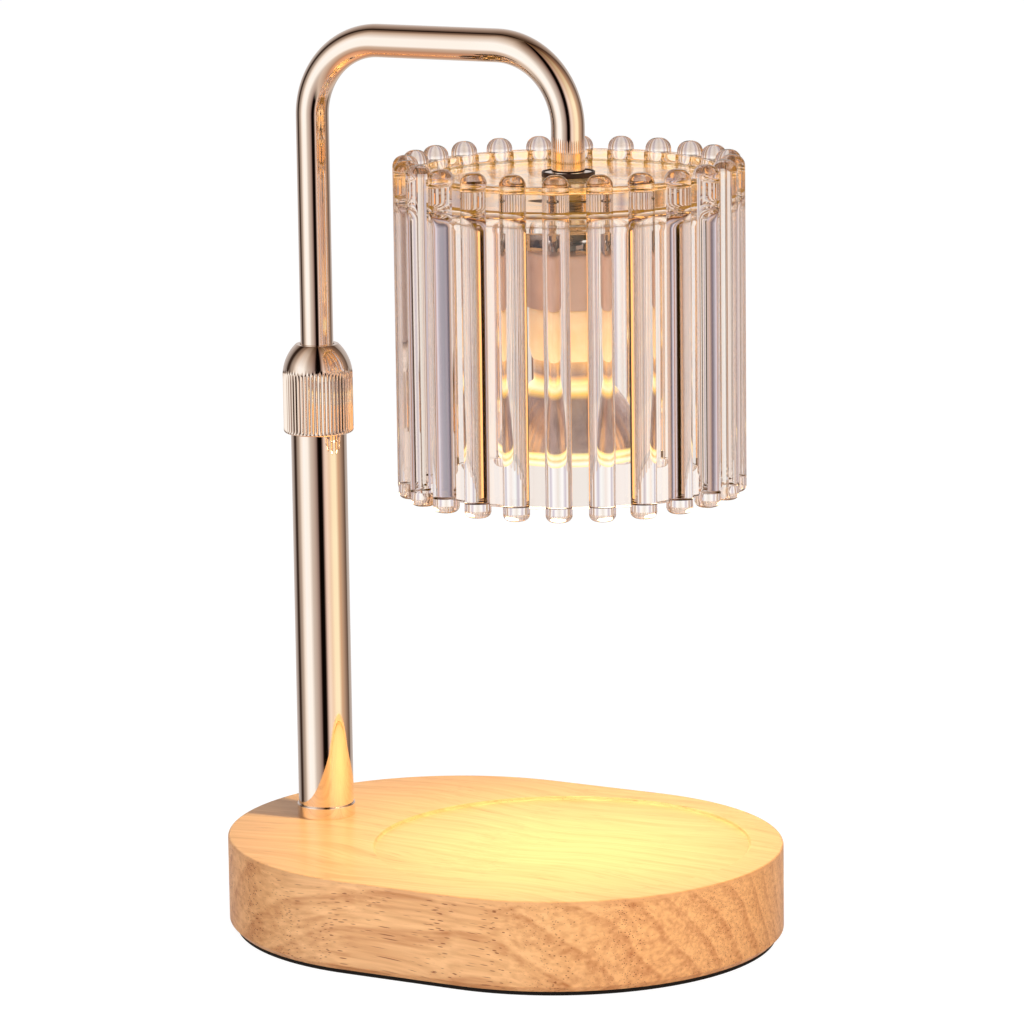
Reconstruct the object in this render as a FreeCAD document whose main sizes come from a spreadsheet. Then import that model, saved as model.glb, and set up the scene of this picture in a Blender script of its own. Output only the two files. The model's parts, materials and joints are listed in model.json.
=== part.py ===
import FreeCAD, Part

import math
import os

import Sketcher
from FreeCAD import Vector

# Candle warmer lamp: a wooden base with a candle recess, a plated column, a gooseneck arm that
# slides and swivels in a collet lock, and a ribbed glass shade over a twist-lock reflector lamp.
# Millimetres. +Z is up, +X runs from the column to the candle, and the origin is on the surface
# that the lamp stands on, under the middle of the base.

# --- driving dimensions -------------------------------------------------------------------

SIZES = {
    # base
    "base_length": 200.0,
    "base_width": 156.0,
    "base_thickness": 31.7,
    "base_foot_chamfer": 2.0,
    "base_top_round": 0.8,
    "pad_thickness": 1.5,
    "pad_inset": 2.5,
    "recess_radius": 65.6,
    "recess_rim": 11.5,
    "recess_depth": 1.2,
    "cavity_depth": 16.0,
    "nut_well_radius": 17.0,
    "splice_bay_length": 34.0,
    "splice_bay_width": 24.0,
    # cord inlet
    "inlet_height": 11.0,
    "inlet_radius": 3.3,
    "grommet_radius": 5.0,
    "grommet_flange_radius": 6.5,
    "grommet_flange_thickness": 1.5,
    # splice block
    "block_length": 20.0,
    "block_width": 16.0,
    "block_height": 14.0,
    "block_screw_radius": 1.5,
    "block_screw_height": 3.0,
    "block_screw_spacing": 8.0,
    "block_fixing_radius": 1.6,
    "block_fixing_depth": 6.0,
    "block_sink_depth": 5.0,
    # column
    "column_inset": 27.8,
    "column_radius": 9.8,
    "column_wall": 1.0,
    "column_length": 142.8,
    "foot_ring_radius": 10.35,
    "foot_ring_height": 4.5,
    "foot_plug_height": 8.0,
    "stud_radius": 5.0,
    "stud_bore_radius": 3.8,
    "stud_tail": 0.5,
    "lead_height": 7.0,
    "lead_bend_radius": 5.6,
    "slack_start": 3.6,
    "base_washer_radius": 14.0,
    "base_washer_thickness": 1.5,
    "nut_radius": 8.08,
    "nut_height": 5.0,
    # lock at the top of the column
    "guide_bush_insert": 16.0,
    "guide_bush_shoulder": 1.5,
    "thread_radius": 8.5,
    "thread_length": 10.5,
    "collet_length": 10.4,
    "collet_nose_radius": 6.6,
    "collet_slit": 1.2,
    "collar_radius": 12.3,
    "collar_skirt": 4.2,
    "collar_length": 31.4,
    "collar_shoulder_height": 10.2,
    "collar_shoulder_curve": 16.0,
    "collar_top_radius": 7.5,
    "collar_lip_radius": 6.0,
    "collar_foot_chamfer": 0.7,
    "collar_lift": 0.75,
    "flute_count": 60,
    "flute_radius": 0.62,
    "flute_depth": 0.38,
    # arm
    "arm_radius": 5.75,
    "arm_wall": 0.7,
    "arm_reach": 100.5,
    "arm_bend_radius": 27.0,
    "arm_rise": 30.0,
    "arm_height": 310.5,
    "arm_drop": 41.9,
    "stop_bush_length": 8.0,
    "stop_ring_radius": 7.6,
    "stop_ring_thickness": 1.2,
    "arm_tail": 1.8,
    "lead_radius": 2.3,
    # glass shade
    "shade_height": 115.9,
    "rib_count": 24,
    "rib_radius": 4.5,
    "rib_circle_radius": 55.5,
    "rib_first_angle": 8.4,
    "rib_top_round": 3.0,
    "rib_foot_round": 2.2,
    "rib_stand_up": 4.3,
    "rib_hang_down": 3.9,
    "shade_wall_radius": 55.0,
    "shade_wall": 4.5,
    "shade_plate_drop": 3.0,
    "shade_plate_thickness": 6.0,
    "shade_plate_fillet": 7.0,
    "shade_hole_radius": 5.3,
    # what clamps the shade
    "nipple_radius": 5.0,
    "nipple_bore_radius": 3.8,
    "nipple_length": 40.0,
    "nipple_tail": 2.0,
    "gasket_radius": 7.6,
    "top_gasket_thickness": 0.5,
    "flange_radius": 8.3,
    "flange_thickness": 1.0,
    "low_gasket_radius": 9.0,
    "low_gasket_thickness": 1.0,
    "shade_washer_radius": 9.5,
    "shade_washer_thickness": 1.0,
    # lamp holder and its stirrup
    "bracket_drop": 16.9,
    "bracket_thickness": 1.2,
    "bracket_width": 14.0,
    "bracket_span": 25.2,
    "bracket_foot": 6.5,
    "bracket_leg": 8.3,
    "lock_nut_height": 3.0,
    "holder_radius": 15.0,
    "holder_height": 18.7,
    "holder_cover_wall": 0.5,
    "holder_screw_radius": 1.5,
    "holder_screw_length": 8.0,
    "holder_screw_head_radius": 2.8,
    "holder_screw_head_height": 1.8,
    "holder_screw_spacing": 17.0,
    "lead_well_depth": 6.0,
    # twist-lock reflector lamp
    "pin_spacing": 10.0,
    "pin_neck_radius": 1.5,
    "pin_neck_length": 4.4,
    "pin_head_radius": 2.5,
    "pin_head_height": 2.6,
    "twist_angle": 25.0,
    "contact_thickness": 0.8,
    "bulb_length": 51.4,
    "bulb_radius": 25.0,
    "bulb_rim_height": 4.8,
    "bulb_bell_height": 21.4,
    "bulb_bell_curve": 42.0,
    "bulb_neck_radius": 12.6,
    "bulb_stem_radius": 8.4,
    "bulb_stem_length": 9.0,
    "bulb_cap_radius": 14.0,
    "bulb_cap_height": 17.5,
    "bulb_cap_chamfer": 1.0,
    "reflector_wall": 1.2,
    "front_glass_thickness": 1.8,
    "capsule_radius": 5.0,
    "capsule_wall": 0.7,
    "capsule_length": 20.0,
    "capsule_pinch": 5.0,
    "filament_height": 3.0,
    "filament_radius": 0.6,
    "filament_length": 5.0,
    # clearances
    "press_gap": 0.05,
    "running_gap": 0.05,
    "sliding_gap": 0.1,
    "free_gap": 0.3,
}

# --- heights and places that follow from them ---------------------------------------------

LEVELS = {
    "base_top": "sizes.pad_thickness + sizes.base_thickness",
    "base_end_centre": "(sizes.base_length - sizes.base_width) / 2",
    "recess_x": "sizes.base_length / 2 - sizes.recess_rim - sizes.recess_radius",
    "cavity_top": "sizes.pad_thickness + sizes.cavity_depth",
    "bay_reach": "sizes.nut_well_radius + sizes.splice_bay_length",
    "column_x": "sizes.column_inset - sizes.base_length / 2",
    "block_x": "at.column_x + sizes.nut_well_radius + sizes.splice_bay_length / 2",
    "column_bore": "sizes.column_radius - sizes.column_wall",
    "column_top": "at.base_top + sizes.column_length",
    "plug_top": "at.base_top + sizes.foot_plug_height",
    "base_nut_top": "at.cavity_top - sizes.base_washer_thickness",
    "base_nut_foot": "at.base_nut_top - sizes.nut_height",
    "lead_parting": "at.plug_top + sizes.slack_start",
    "guide_foot": "at.column_top - sizes.guide_bush_insert",
    "thread_foot": "at.column_top + sizes.guide_bush_shoulder",
    "thread_top": "at.thread_foot + sizes.thread_length",
    "arm_guide_radius": "sizes.arm_radius + sizes.running_gap",
    "collar_foot": "at.column_top - sizes.collar_skirt",
    "collar_top": "at.collar_foot + sizes.collar_length",
    "stop_top": "at.guide_foot - sizes.arm_rise - 2 * sizes.running_gap",
    "stop_bush_top": "at.stop_top - sizes.stop_ring_thickness - sizes.running_gap",
    "stop_bush_foot": "at.stop_bush_top - sizes.stop_bush_length",
    "stop_foot": "at.stop_bush_foot - sizes.stop_ring_thickness - sizes.running_gap",
    "arm_foot": "at.stop_foot - sizes.arm_tail",
    "arm_bore": "sizes.arm_radius - sizes.arm_wall",
    "shade_x": "at.column_x + sizes.arm_reach",
    "flange_top": "sizes.arm_height - sizes.arm_drop",
    "flange_foot": "at.flange_top - sizes.flange_thickness",
    "plate_top": "at.flange_foot - sizes.top_gasket_thickness",
    "wall_top": "at.plate_top + sizes.shade_plate_drop",
    "shade_top": "at.wall_top + sizes.rib_stand_up",
    "shade_foot": "at.shade_top - sizes.shade_height",
    "wall_foot": "at.shade_foot + sizes.rib_hang_down",
    "wall_bore": "sizes.shade_wall_radius - sizes.shade_wall",
    "plate_foot": "at.plate_top - sizes.shade_plate_thickness",
    "washer_top": "at.plate_foot - sizes.low_gasket_thickness",
    "shade_nut_top": "at.washer_top - sizes.shade_washer_thickness",
    "shade_nut_foot": "at.shade_nut_top - sizes.nut_height",
    "bracket_top": "at.plate_top - sizes.bracket_drop",
    "bracket_roof": "at.bracket_top - sizes.bracket_thickness",
    "holder_top": "at.bracket_top - sizes.bracket_leg",
    "holder_foot": "at.holder_top - sizes.holder_height",
    "nipple_foot": "at.bracket_roof - sizes.lock_nut_height - sizes.nipple_tail",
    "holder_bore": "sizes.holder_radius - sizes.holder_cover_wall",
    "cap_top": "at.holder_foot - sizes.free_gap",
    "cap_foot": "at.cap_top - sizes.bulb_cap_height",
    "bulb_foot": "at.cap_top - sizes.bulb_length",
    "bell_foot": "at.bulb_foot + sizes.bulb_rim_height",
    "bell_top": "at.bell_foot + sizes.bulb_bell_height",
    "stem_top": "at.cap_foot + sizes.bulb_stem_length",
    "pin_step": "at.cap_top + sizes.pin_neck_length",
    "pin_top": "at.pin_step + sizes.pin_head_height",
    "slot_ledge": "at.pin_step - sizes.free_gap",
    "chamber_top": "at.pin_top + sizes.free_gap + sizes.contact_thickness + sizes.press_gap",
    "capsule_foot": "at.stem_top - sizes.reflector_wall - sizes.capsule_length",
}

# --- the document and its two sheets ------------------------------------------------------

doc = FreeCAD.newDocument("candle_warmer_lamp")
sizes = doc.addObject("Spreadsheet::Sheet", "sizes")
at = doc.addObject("Spreadsheet::Sheet", "at")
nodes = []


def fill(sheet, entries):
    """Write each entry into a row of its own, and name its cell."""
    for row, (alias, content) in enumerate(entries.items(), 1):
        sheet.set(f"A{row}", alias)
        sheet.set(f"B{row}", content)
        sheet.setAlias(f"B{row}", alias)


fill(sizes, {alias: str(number) for alias, number in SIZES.items()})
doc.recompute()
fill(at, {alias: "=" + formula.replace("at.", "") for alias, formula in LEVELS.items()})
doc.recompute()


def value(expression):
    """The number that an expression on the sheets gives now."""
    result = sizes.evalExpression(expression)
    return float(getattr(result, "Value", result))


# --- modelling helpers --------------------------------------------------------------------

def bind(target, settings):
    """Tie each property of target to its expression."""
    for name, expression in settings.items():
        target.setExpression(name, expression)


def place(target, x="0", y="0", z="0"):
    """Put target at a place given by expressions."""
    for axis, expression in (("x", x), ("y", y), ("z", z)):
        if expression != "0":
            target.setExpression("Placement.Base." + axis, expression)


def keep(target, label):
    """Make target a sub-part of the lamp, under the label that names its file."""
    target.Label = label
    nodes.append(target)
    return target


def cylinder(name, radius, foot, top, x="0", y="0"):
    """Upright cylinder between two heights."""
    solid = doc.addObject("Part::Cylinder", name)
    bind(solid, {"Radius": radius, "Height": f"({top}) - ({foot})"})
    place(solid, x, y, foot)
    return solid


def along_x(name, radius, start, end, height="sizes.inlet_height"):
    """Cylinder along X between two places, in the middle of the lamp."""
    solid = doc.addObject("Part::Cylinder", name)
    bind(solid, {"Radius": radius, "Height": f"({end}) - ({start})"})
    solid.Placement = FreeCAD.Placement(Vector(0, 0, 0), FreeCAD.Rotation(Vector(0, 1, 0), 90))
    place(solid, start, "0", height)
    return solid


def block(name, length, width, foot, top, x="0", y="0"):
    """Upright box between two heights, centred on a place."""
    solid = doc.addObject("Part::Box", name)
    bind(solid, {"Length": length, "Width": width, "Height": f"({top}) - ({foot})"})
    place(solid, f"({x}) - ({length}) / 2", f"({y}) - ({width}) / 2", foot)
    return solid


def hexagon(name, radius, foot, top, x="0"):
    """Upright hexagonal prism between two heights, radius to its corners."""
    solid = doc.addObject("Part::Prism", name)
    solid.Polygon = 6
    bind(solid, {"Circumradius": radius, "Height": f"({top}) - ({foot})"})
    place(solid, x, "0", foot)
    return solid


def join(name, solids):
    """One solid out of solids that overlap or meet."""
    result = doc.addObject("Part::MultiFuse", name)
    result.Shapes = solids
    result.Refine = True
    return result


def group(name, solids):
    """Separate solids that share one node."""
    result = doc.addObject("Part::Compound", name)
    result.Links = solids
    return result


def cut(name, base, tools):
    """Base with each of the tools taken out."""
    result = doc.addObject("Part::Cut", name)
    result.Base = base
    result.Tool = tools[0] if len(tools) == 1 else join(name + "_tools", tools)
    result.Refine = True
    return result


def tube(name, radius, bore, foot, top, x="0"):
    """Upright ring or tube between two heights."""
    outside = cylinder(name + "_round", radius, foot, top, x)
    return cut(name, outside, [cylinder(name + "_bore", bore, foot, top, x)])


def nut(name, bore, foot, top, x):
    """Hexagon nut between two heights."""
    outside = hexagon(name + "_hexagon", "sizes.nut_radius", foot, top, x)
    return cut(name, outside, [cylinder(name + "_bore", bore, foot, top, x)])


def new_body(name, x="0"):
    """Empty body at a place along X."""
    body = doc.addObject("PartDesign::Body", name)
    place(body, x)
    return body


def sketch_on(body, name, role, offset="0"):
    """Empty sketch on one of the body's own planes, shifted along its normal."""
    sketch = body.newObject("Sketcher::SketchObject", name)
    plane = next(feature for feature in body.Origin.OriginFeatures if feature.Role == role)
    sketch.AttachmentSupport = [(plane, "")]
    sketch.MapMode = "FlatFace"
    if offset != "0":
        sketch.setExpression("AttachmentOffset.Base.z", offset)
    return sketch


def dimension(sketch, kind, arguments, expression):
    """Add a driving dimension that follows an expression."""
    index = sketch.addConstraint(Sketcher.Constraint(kind, *arguments, value(expression)))
    sketch.setExpression(f"Constraints[{index}]", expression)


def hold(sketch, geometry, point, x, y):
    """Hold a point of the sketch at a place given from the sketch's origin."""
    for kind, axis, expression in (("DistanceX", -2, x), ("DistanceY", -1, y)):
        if expression == "0":
            sketch.addConstraint(Sketcher.Constraint("PointOnObject", geometry, point, axis))
        else:
            dimension(sketch, kind, (-1, 1, geometry, point), expression)


def circle(sketch, radius, x="0", y="0"):
    """Circle with its centre held at a place."""
    centre = Vector(value(x), value(y), 0)
    index = sketch.addGeometry(Part.Circle(centre, Vector(0, 0, 1), value(radius)), False)
    dimension(sketch, "Radius", (index,), radius)
    hold(sketch, index, 3, x, y)


def bowed(start, end, radius, side):
    """Arc from start to end that bows left of its way (side 1) or right of it (side -1)."""
    chord = end.sub(start)
    normal = Vector(-chord.y, chord.x, 0).normalize()
    inset = math.sqrt(radius ** 2 - chord.Length ** 2 / 4)
    centre = start.add(end).multiply(0.5).sub(normal.multiply(side * inset))
    first, last = (start, end) if side < 0 else (end, start)
    first_angle = math.atan2(first.y - centre.y, first.x - centre.x)
    last_angle = math.atan2(last.y - centre.y, last.x - centre.x)
    if last_angle < first_angle:
        last_angle += 2 * math.pi
    return Part.ArcOfCircle(Part.Circle(centre, Vector(0, 0, 1), radius), first_angle, last_angle)


def outline(sketch, corners, arcs, closed=True):
    """Chain of sides through the corners; arcs gives a side's radius and the way it bows."""
    points = [Vector(value(x), value(y), 0) for x, y in corners]
    sides = len(points) if closed else len(points) - 1
    ends = []
    radii = []
    for side in range(sides):
        start = points[side]
        end = points[(side + 1) % len(points)]
        if side in arcs:
            radius, way = arcs[side]
            index = sketch.addGeometry(bowed(start, end, value(radius), way), False)
            ends.append((index, 1, 2) if way < 0 else (index, 2, 1))
            radii.append((index, radius))
        else:
            ends.append((sketch.addGeometry(Part.LineSegment(start, end), False), 1, 2))
    for side, (index, first, last) in enumerate(ends):
        hold(sketch, index, first, *corners[side])
        if closed or side + 1 < sides:
            following = ends[(side + 1) % sides]
            sketch.addConstraint(Sketcher.Constraint("Coincident", index, last, following[0], following[1]))
        else:
            hold(sketch, index, last, *corners[side + 1])
    for index, radius in radii:
        dimension(sketch, "Radius", (index,), radius)


def stadium(sketch, centre, radius):
    """Oblong with round ends: end centres at plus and minus centre on X."""
    reach = Vector(value(centre), 0, 0)
    rise = Vector(0, value(radius), 0)
    top = sketch.addGeometry(Part.LineSegment(reach + rise, rise - reach), False)
    foot = sketch.addGeometry(Part.LineSegment(-reach - rise, reach - rise), False)
    right = sketch.addGeometry(bowed(reach - rise, reach + rise, value(radius), -1), False)
    left = sketch.addGeometry(bowed(rise - reach, -reach - rise, value(radius), -1), False)
    for first, first_end, second, second_end in ((right, 2, top, 1), (top, 2, left, 1), (left, 2, foot, 1),
                                                 (foot, 2, right, 1)):
        sketch.addConstraint(Sketcher.Constraint("Tangent", first, first_end, second, second_end))
    hold(sketch, right, 3, centre, "0")
    hold(sketch, left, 3, f"-({centre})", "0")
    dimension(sketch, "Radius", (right,), radius)
    dimension(sketch, "Radius", (left,), radius)


def turned(name, corners, arcs=None, x="0"):
    """Body turned about the upright axis at x, from corners given as radius and height."""
    body = new_body(name, x)
    profile = sketch_on(body, name + "_profile", "XZ_Plane")
    outline(profile, corners, arcs or {})
    turn = body.newObject("PartDesign::Revolution", name + "_turn")
    turn.Profile = profile
    turn.ReferenceAxis = (profile, ["V_Axis"])
    turn.Angle = 360
    return body


def pad(body, name, sketch, length):
    """Raise a sketch by a length."""
    feature = body.newObject("PartDesign::Pad", name)
    feature.Profile = sketch
    feature.setExpression("Length", length)
    return feature


def pocket(body, name, sketch, depth, upwards=False):
    """Sink a sketch into the body by a depth."""
    feature = body.newObject("PartDesign::Pocket", name)
    feature.Profile = sketch
    feature.Reversed = upwards
    feature.setExpression("Length", depth)
    return feature


def level_edges(feature, height):
    """Names of the feature's edges that lie wholly at a height."""
    doc.recompute()
    names = []
    for number, edge in enumerate(feature.Shape.Edges, 1):
        if abs(edge.BoundBox.ZMin - height) < 1e-6 and abs(edge.BoundBox.ZMax - height) < 1e-6:
            names.append(f"Edge{number}")
    return names


def arm_route(body, name, foot, end):
    """Path up the column, round the two bends and down to the shade, from the column's axis."""
    path = sketch_on(body, name, "XZ_Plane")
    bend = "sizes.arm_bend_radius"
    corners = [("0", foot), ("0", f"sizes.arm_height - {bend}"), (bend, "sizes.arm_height"),
               (f"sizes.arm_reach - {bend}", "sizes.arm_height"),
               ("sizes.arm_reach", f"sizes.arm_height - {bend}"), ("sizes.arm_reach", end)]
    outline(path, corners, {1: (bend, 1), 3: (bend, 1)}, closed=False)
    return path


def piped(name, radius, foot, end):
    """Round rod along the arm's route."""
    body = new_body(name, "at.column_x")
    path = arm_route(body, name + "_path", foot, end)
    section = sketch_on(body, name + "_section", "XY_Plane", foot)
    circle(section, radius)
    pipe = body.newObject("PartDesign::AdditivePipe", name + "_pipe")
    pipe.Profile = section
    pipe.Spine = (path, [f"Edge{number}" for number in range(1, 6)])
    return body


# --- base ---------------------------------------------------------------------------------

def make_wooden_base():
    """Rubberwood block with round ends, a candle recess on top and a wiring cavity below."""
    body = new_body("base_body")
    plan = sketch_on(body, "base_plan", "XY_Plane", "sizes.pad_thickness")
    stadium(plan, "at.base_end_centre", "sizes.base_width / 2")
    slab = pad(body, "base_slab", plan, "sizes.base_thickness")
    chamfer = body.newObject("PartDesign::Chamfer", "base_foot_chamfer")
    chamfer.Base = (slab, level_edges(slab, value("sizes.pad_thickness")))
    chamfer.setExpression("Size", "sizes.base_foot_chamfer")
    rounding = body.newObject("PartDesign::Fillet", "base_top_rounding")
    rounding.Base = (chamfer, level_edges(chamfer, value("at.base_top")))
    rounding.setExpression("Radius", "sizes.base_top_round")
    recess = sketch_on(body, "recess_circle", "XY_Plane", "at.base_top")
    circle(recess, "sizes.recess_radius", "at.recess_x")
    pocket(body, "candle_recess", recess, "sizes.recess_depth")
    foot = "sizes.pad_thickness"
    x = "at.column_x"
    well = cylinder("nut_well", "sizes.nut_well_radius", foot, "at.cavity_top", x)
    bay = block("splice_bay", "at.bay_reach", "sizes.splice_bay_width", foot, "at.cavity_top",
                f"{x} + at.bay_reach / 2")
    bore = cylinder("stud_hole", "sizes.stud_radius + sizes.free_gap", foot, "at.base_top", x)
    fixing = cylinder("block_fixing_hole", "sizes.block_fixing_radius", "at.cavity_top",
                      "at.cavity_top + sizes.block_fixing_depth", "at.block_x")
    end = "-sizes.base_length / 2"
    hole = along_x("inlet_hole", "sizes.grommet_radius + sizes.press_gap", end, x)
    seat = along_x("inlet_seat", "sizes.grommet_flange_radius + sizes.press_gap", end,
                   f"{end} + sizes.grommet_flange_thickness")
    keep(cut("base_with_cavity", body, [well, bay, bore, fixing, hole, seat]), "wooden_base")


def make_base_pad():
    """Soft pad under the wood, set in from its edge."""
    body = new_body("pad_body")
    plan = sketch_on(body, "pad_plan", "XY_Plane")
    stadium(plan, "at.base_end_centre", "sizes.base_width / 2 - sizes.pad_inset")
    pad(body, "pad_sheet", plan, "sizes.pad_thickness")
    keep(body, "base_pad")


def make_cord_grommet():
    """Flanged bush that lines the cord's way into the end of the base."""
    start = "-sizes.base_length / 2"
    end = "at.column_x - sizes.nut_well_radius"
    flange = along_x("grommet_flange", "sizes.grommet_flange_radius", start,
                     f"{start} + sizes.grommet_flange_thickness")
    sleeve = along_x("grommet_sleeve", "sizes.grommet_radius", start, end)
    bore = along_x("grommet_bore", "sizes.inlet_radius", start, end)
    keep(cut("grommet_turning", join("grommet_blank", [flange, sleeve]), [bore]), "cord_grommet")


def make_splice_block():
    """Two-way terminal block in the bay, with its two clamp screws and one fixing screw."""
    top = "at.cavity_top"
    foot = "at.cavity_top - sizes.block_height"
    housing = block("block_housing", "sizes.block_length", "sizes.block_width", foot, top, "at.block_x")
    sink_top = f"{foot} + sizes.block_sink_depth"
    screw_foot = f"{sink_top} - sizes.block_screw_height"
    terminal_x = "at.block_x + sizes.block_length / 4"
    wells = []
    screws = []
    for side, sign in (("left", "-"), ("right", "")):
        y = f"{sign}sizes.block_screw_spacing / 2"
        wells.append(cylinder(f"{side}_screw_well", "sizes.block_screw_radius + sizes.press_gap", foot,
                              sink_top, terminal_x, y))
        screws.append(cylinder(f"{side}_terminal_screw", "sizes.block_screw_radius", screw_foot, sink_top,
                               terminal_x, y))
    fixing_way = cylinder("fixing_way", "sizes.block_fixing_radius", foot, top, "at.block_x")
    fixing_sink = cylinder("fixing_sink", "2 * sizes.block_fixing_radius", foot, sink_top, "at.block_x")
    shank = cylinder("fixing_shank", "sizes.block_fixing_radius - sizes.press_gap", screw_foot,
                     "at.cavity_top + sizes.block_fixing_depth", "at.block_x")
    head = cylinder("fixing_head", "2 * sizes.block_fixing_radius - sizes.press_gap", screw_foot, sink_top,
                    "at.block_x")
    lead_way = along_x("block_lead_way", "sizes.lead_radius + sizes.press_gap",
                       "at.block_x - sizes.block_length / 2", "at.block_x - sizes.block_length / 4",
                       "sizes.lead_height")
    keep(cut("block_shell", housing, wells + [fixing_way, fixing_sink, lead_way]), "splice_block")
    screws.append(join("fixing_screw", [shank, head]))
    keep(group("block_screw_set", screws), "splice_screws")


# --- column -------------------------------------------------------------------------------

def make_column():
    """Plated column with its foot ring, and the hollow stud that bolts it to the base."""
    x = "at.column_x"
    keep(tube("column_pipe", "sizes.column_radius", "at.column_bore", "at.base_top", "at.column_top", x),
         "column_tube")
    keep(tube("foot_ring", "sizes.foot_ring_radius", "sizes.column_radius + sizes.press_gap", "at.base_top",
              "at.base_top + sizes.foot_ring_height", x), "column_foot_ring")
    keep(tube("foot_plug", "at.column_bore - sizes.press_gap", "sizes.stud_radius + sizes.press_gap",
              "at.base_top", "at.plug_top", x), "column_foot_plug")
    keep(tube("stud", "sizes.stud_radius", "sizes.stud_bore_radius", "at.base_nut_foot - sizes.stud_tail",
              "at.plug_top", x), "column_stud")
    keep(tube("base_washer", "sizes.base_washer_radius", "sizes.stud_radius + sizes.press_gap",
              "at.base_nut_top", "at.cavity_top", x), "column_washer")
    keep(nut("base_nut", "sizes.stud_radius + sizes.press_gap", "at.base_nut_foot", "at.base_nut_top", x),
         "column_nut")


def make_guide_bush():
    """Brass bush in the column's mouth: it guides the arm and carries the collar's thread."""
    insert = "at.column_bore - sizes.press_gap"
    corners = [("at.arm_guide_radius", "at.guide_foot"), (insert, "at.guide_foot"), (insert, "at.column_top"),
               ("sizes.column_radius", "at.column_top"), ("sizes.column_radius", "at.thread_foot"),
               ("sizes.thread_radius", "at.thread_foot"), ("sizes.thread_radius", "at.thread_top"),
               ("at.arm_guide_radius", "at.thread_top")]
    keep(turned("guide_bush", corners, x="at.column_x"), "column_guide_bush")


def make_collet():
    """Split taper ring that the collar closes on the arm."""
    foot = "at.thread_top + sizes.running_gap"
    top = "at.thread_top + sizes.collet_length"
    corners = [("at.arm_guide_radius", foot), ("sizes.thread_radius - sizes.sliding_gap", foot),
               ("sizes.collet_nose_radius - sizes.sliding_gap", top), ("at.arm_guide_radius", top)]
    taper = turned("collet_taper", corners, x="at.column_x")
    slit = block("collet_slit_cut", "sizes.thread_radius", "sizes.collet_slit", foot, top,
                 "at.column_x - sizes.thread_radius / 2 - 1")
    keep(cut("collet_split", taper, [slit]), "clamp_collet")


def make_collar():
    """Locking collar: fluted grip, ogive shoulder, thread and taper inside."""
    skirt = "sizes.column_radius + sizes.sliding_gap"
    shoulder = "at.collar_top - sizes.collar_shoulder_height"
    step = "at.thread_foot + sizes.free_gap"
    thread = "sizes.thread_radius + sizes.running_gap"
    taper_foot = "at.thread_top + sizes.running_gap"
    taper_top = "at.thread_top + sizes.collet_length + sizes.sliding_gap"
    corners = [(skirt, "at.collar_foot"),
               ("sizes.collar_radius - sizes.collar_foot_chamfer", "at.collar_foot"),
               ("sizes.collar_radius", "at.collar_foot + sizes.collar_foot_chamfer"),
               ("sizes.collar_radius", shoulder), ("sizes.collar_top_radius", "at.collar_top"),
               ("sizes.collar_lip_radius", "at.collar_top"), ("sizes.collar_lip_radius", taper_top),
               ("sizes.collet_nose_radius", taper_top), (thread, taper_foot), (thread, step), (skirt, step)]
    body = turned("collar_body", corners, {3: ("sizes.collar_shoulder_curve", -1)}, "at.column_x")
    flute = sketch_on(body, "flute_circle", "XY_Plane", "at.collar_foot + sizes.collar_foot_chamfer")
    circle(flute, "sizes.flute_radius", "sizes.collar_radius + sizes.flute_radius - sizes.flute_depth")
    groove = pocket(body, "flute", flute, "sizes.collar_length - sizes.collar_shoulder_height"
                    " - 2 * sizes.collar_foot_chamfer", upwards=True)
    doc.recompute()
    fluting = body.newObject("PartDesign::PolarPattern", "fluting")
    fluting.Originals = [groove]
    fluting.Angle = 360
    centre_axis = next(feature for feature in body.Origin.OriginFeatures if feature.Role == "Z_Axis")
    fluting.Axis = (centre_axis, [""])
    fluting.setExpression("Occurrences", "sizes.flute_count")
    body.Tip = fluting
    keep(body, "locking_collar")


# --- arm ----------------------------------------------------------------------------------

def make_arm():
    """Gooseneck tube, the bush that slides with it in the column, and the rings that hold the bush."""
    outside = piped("arm_outside", "sizes.arm_radius", "at.arm_foot", "at.flange_top")
    inside = piped("arm_inside", "at.arm_bore", "at.arm_foot", "at.flange_top")
    keep(cut("arm_pipe", outside, [inside]), "arm_tube")
    x = "at.column_x"
    keep(tube("stop_bush", "at.column_bore - sizes.sliding_gap", "at.arm_guide_radius", "at.stop_bush_foot",
              "at.stop_bush_top", x), "arm_stop_bush")
    rings = [tube("upper_ring", "sizes.stop_ring_radius", "sizes.arm_radius",
                  "at.stop_top - sizes.stop_ring_thickness", "at.stop_top", x),
             tube("lower_ring", "sizes.stop_ring_radius", "sizes.arm_radius", "at.stop_foot",
                  "at.stop_foot + sizes.stop_ring_thickness", x)]
    keep(group("retaining_rings", rings), "arm_retaining_rings")


def make_leads():
    """Two-core lead: out of the splice block, up the column with slack, and on through the arm."""
    radius = "sizes.lead_radius"
    body = new_body("base_lead_body", "at.column_x")
    start = "(at.block_x - sizes.block_length / 4 - at.column_x)"
    bend = "sizes.lead_bend_radius"
    low = "sizes.lead_height"
    path = sketch_on(body, "base_lead_path", "XZ_Plane")
    outline(path, [(start, low), (bend, low), ("0", f"{low} + {bend}"), ("0", "at.lead_parting")],
            {1: (bend, 1)}, closed=False)
    section = sketch_on(body, "base_lead_section", "YZ_Plane", start)
    circle(section, radius, "0", low)
    pipe = body.newObject("PartDesign::AdditivePipe", "base_lead_pipe")
    pipe.Profile = section
    pipe.Spine = (path, ["Edge1", "Edge2", "Edge3"])
    keep(body, "base_lead")
    keep(cylinder("slack_run", radius, "at.lead_parting", "at.stop_foot", "at.column_x"), "slack_lead")
    keep(piped("arm_lead_run", radius, "at.stop_foot", "at.holder_top - sizes.lead_well_depth"), "arm_lead")


# --- glass shade and its clamp ------------------------------------------------------------

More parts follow.
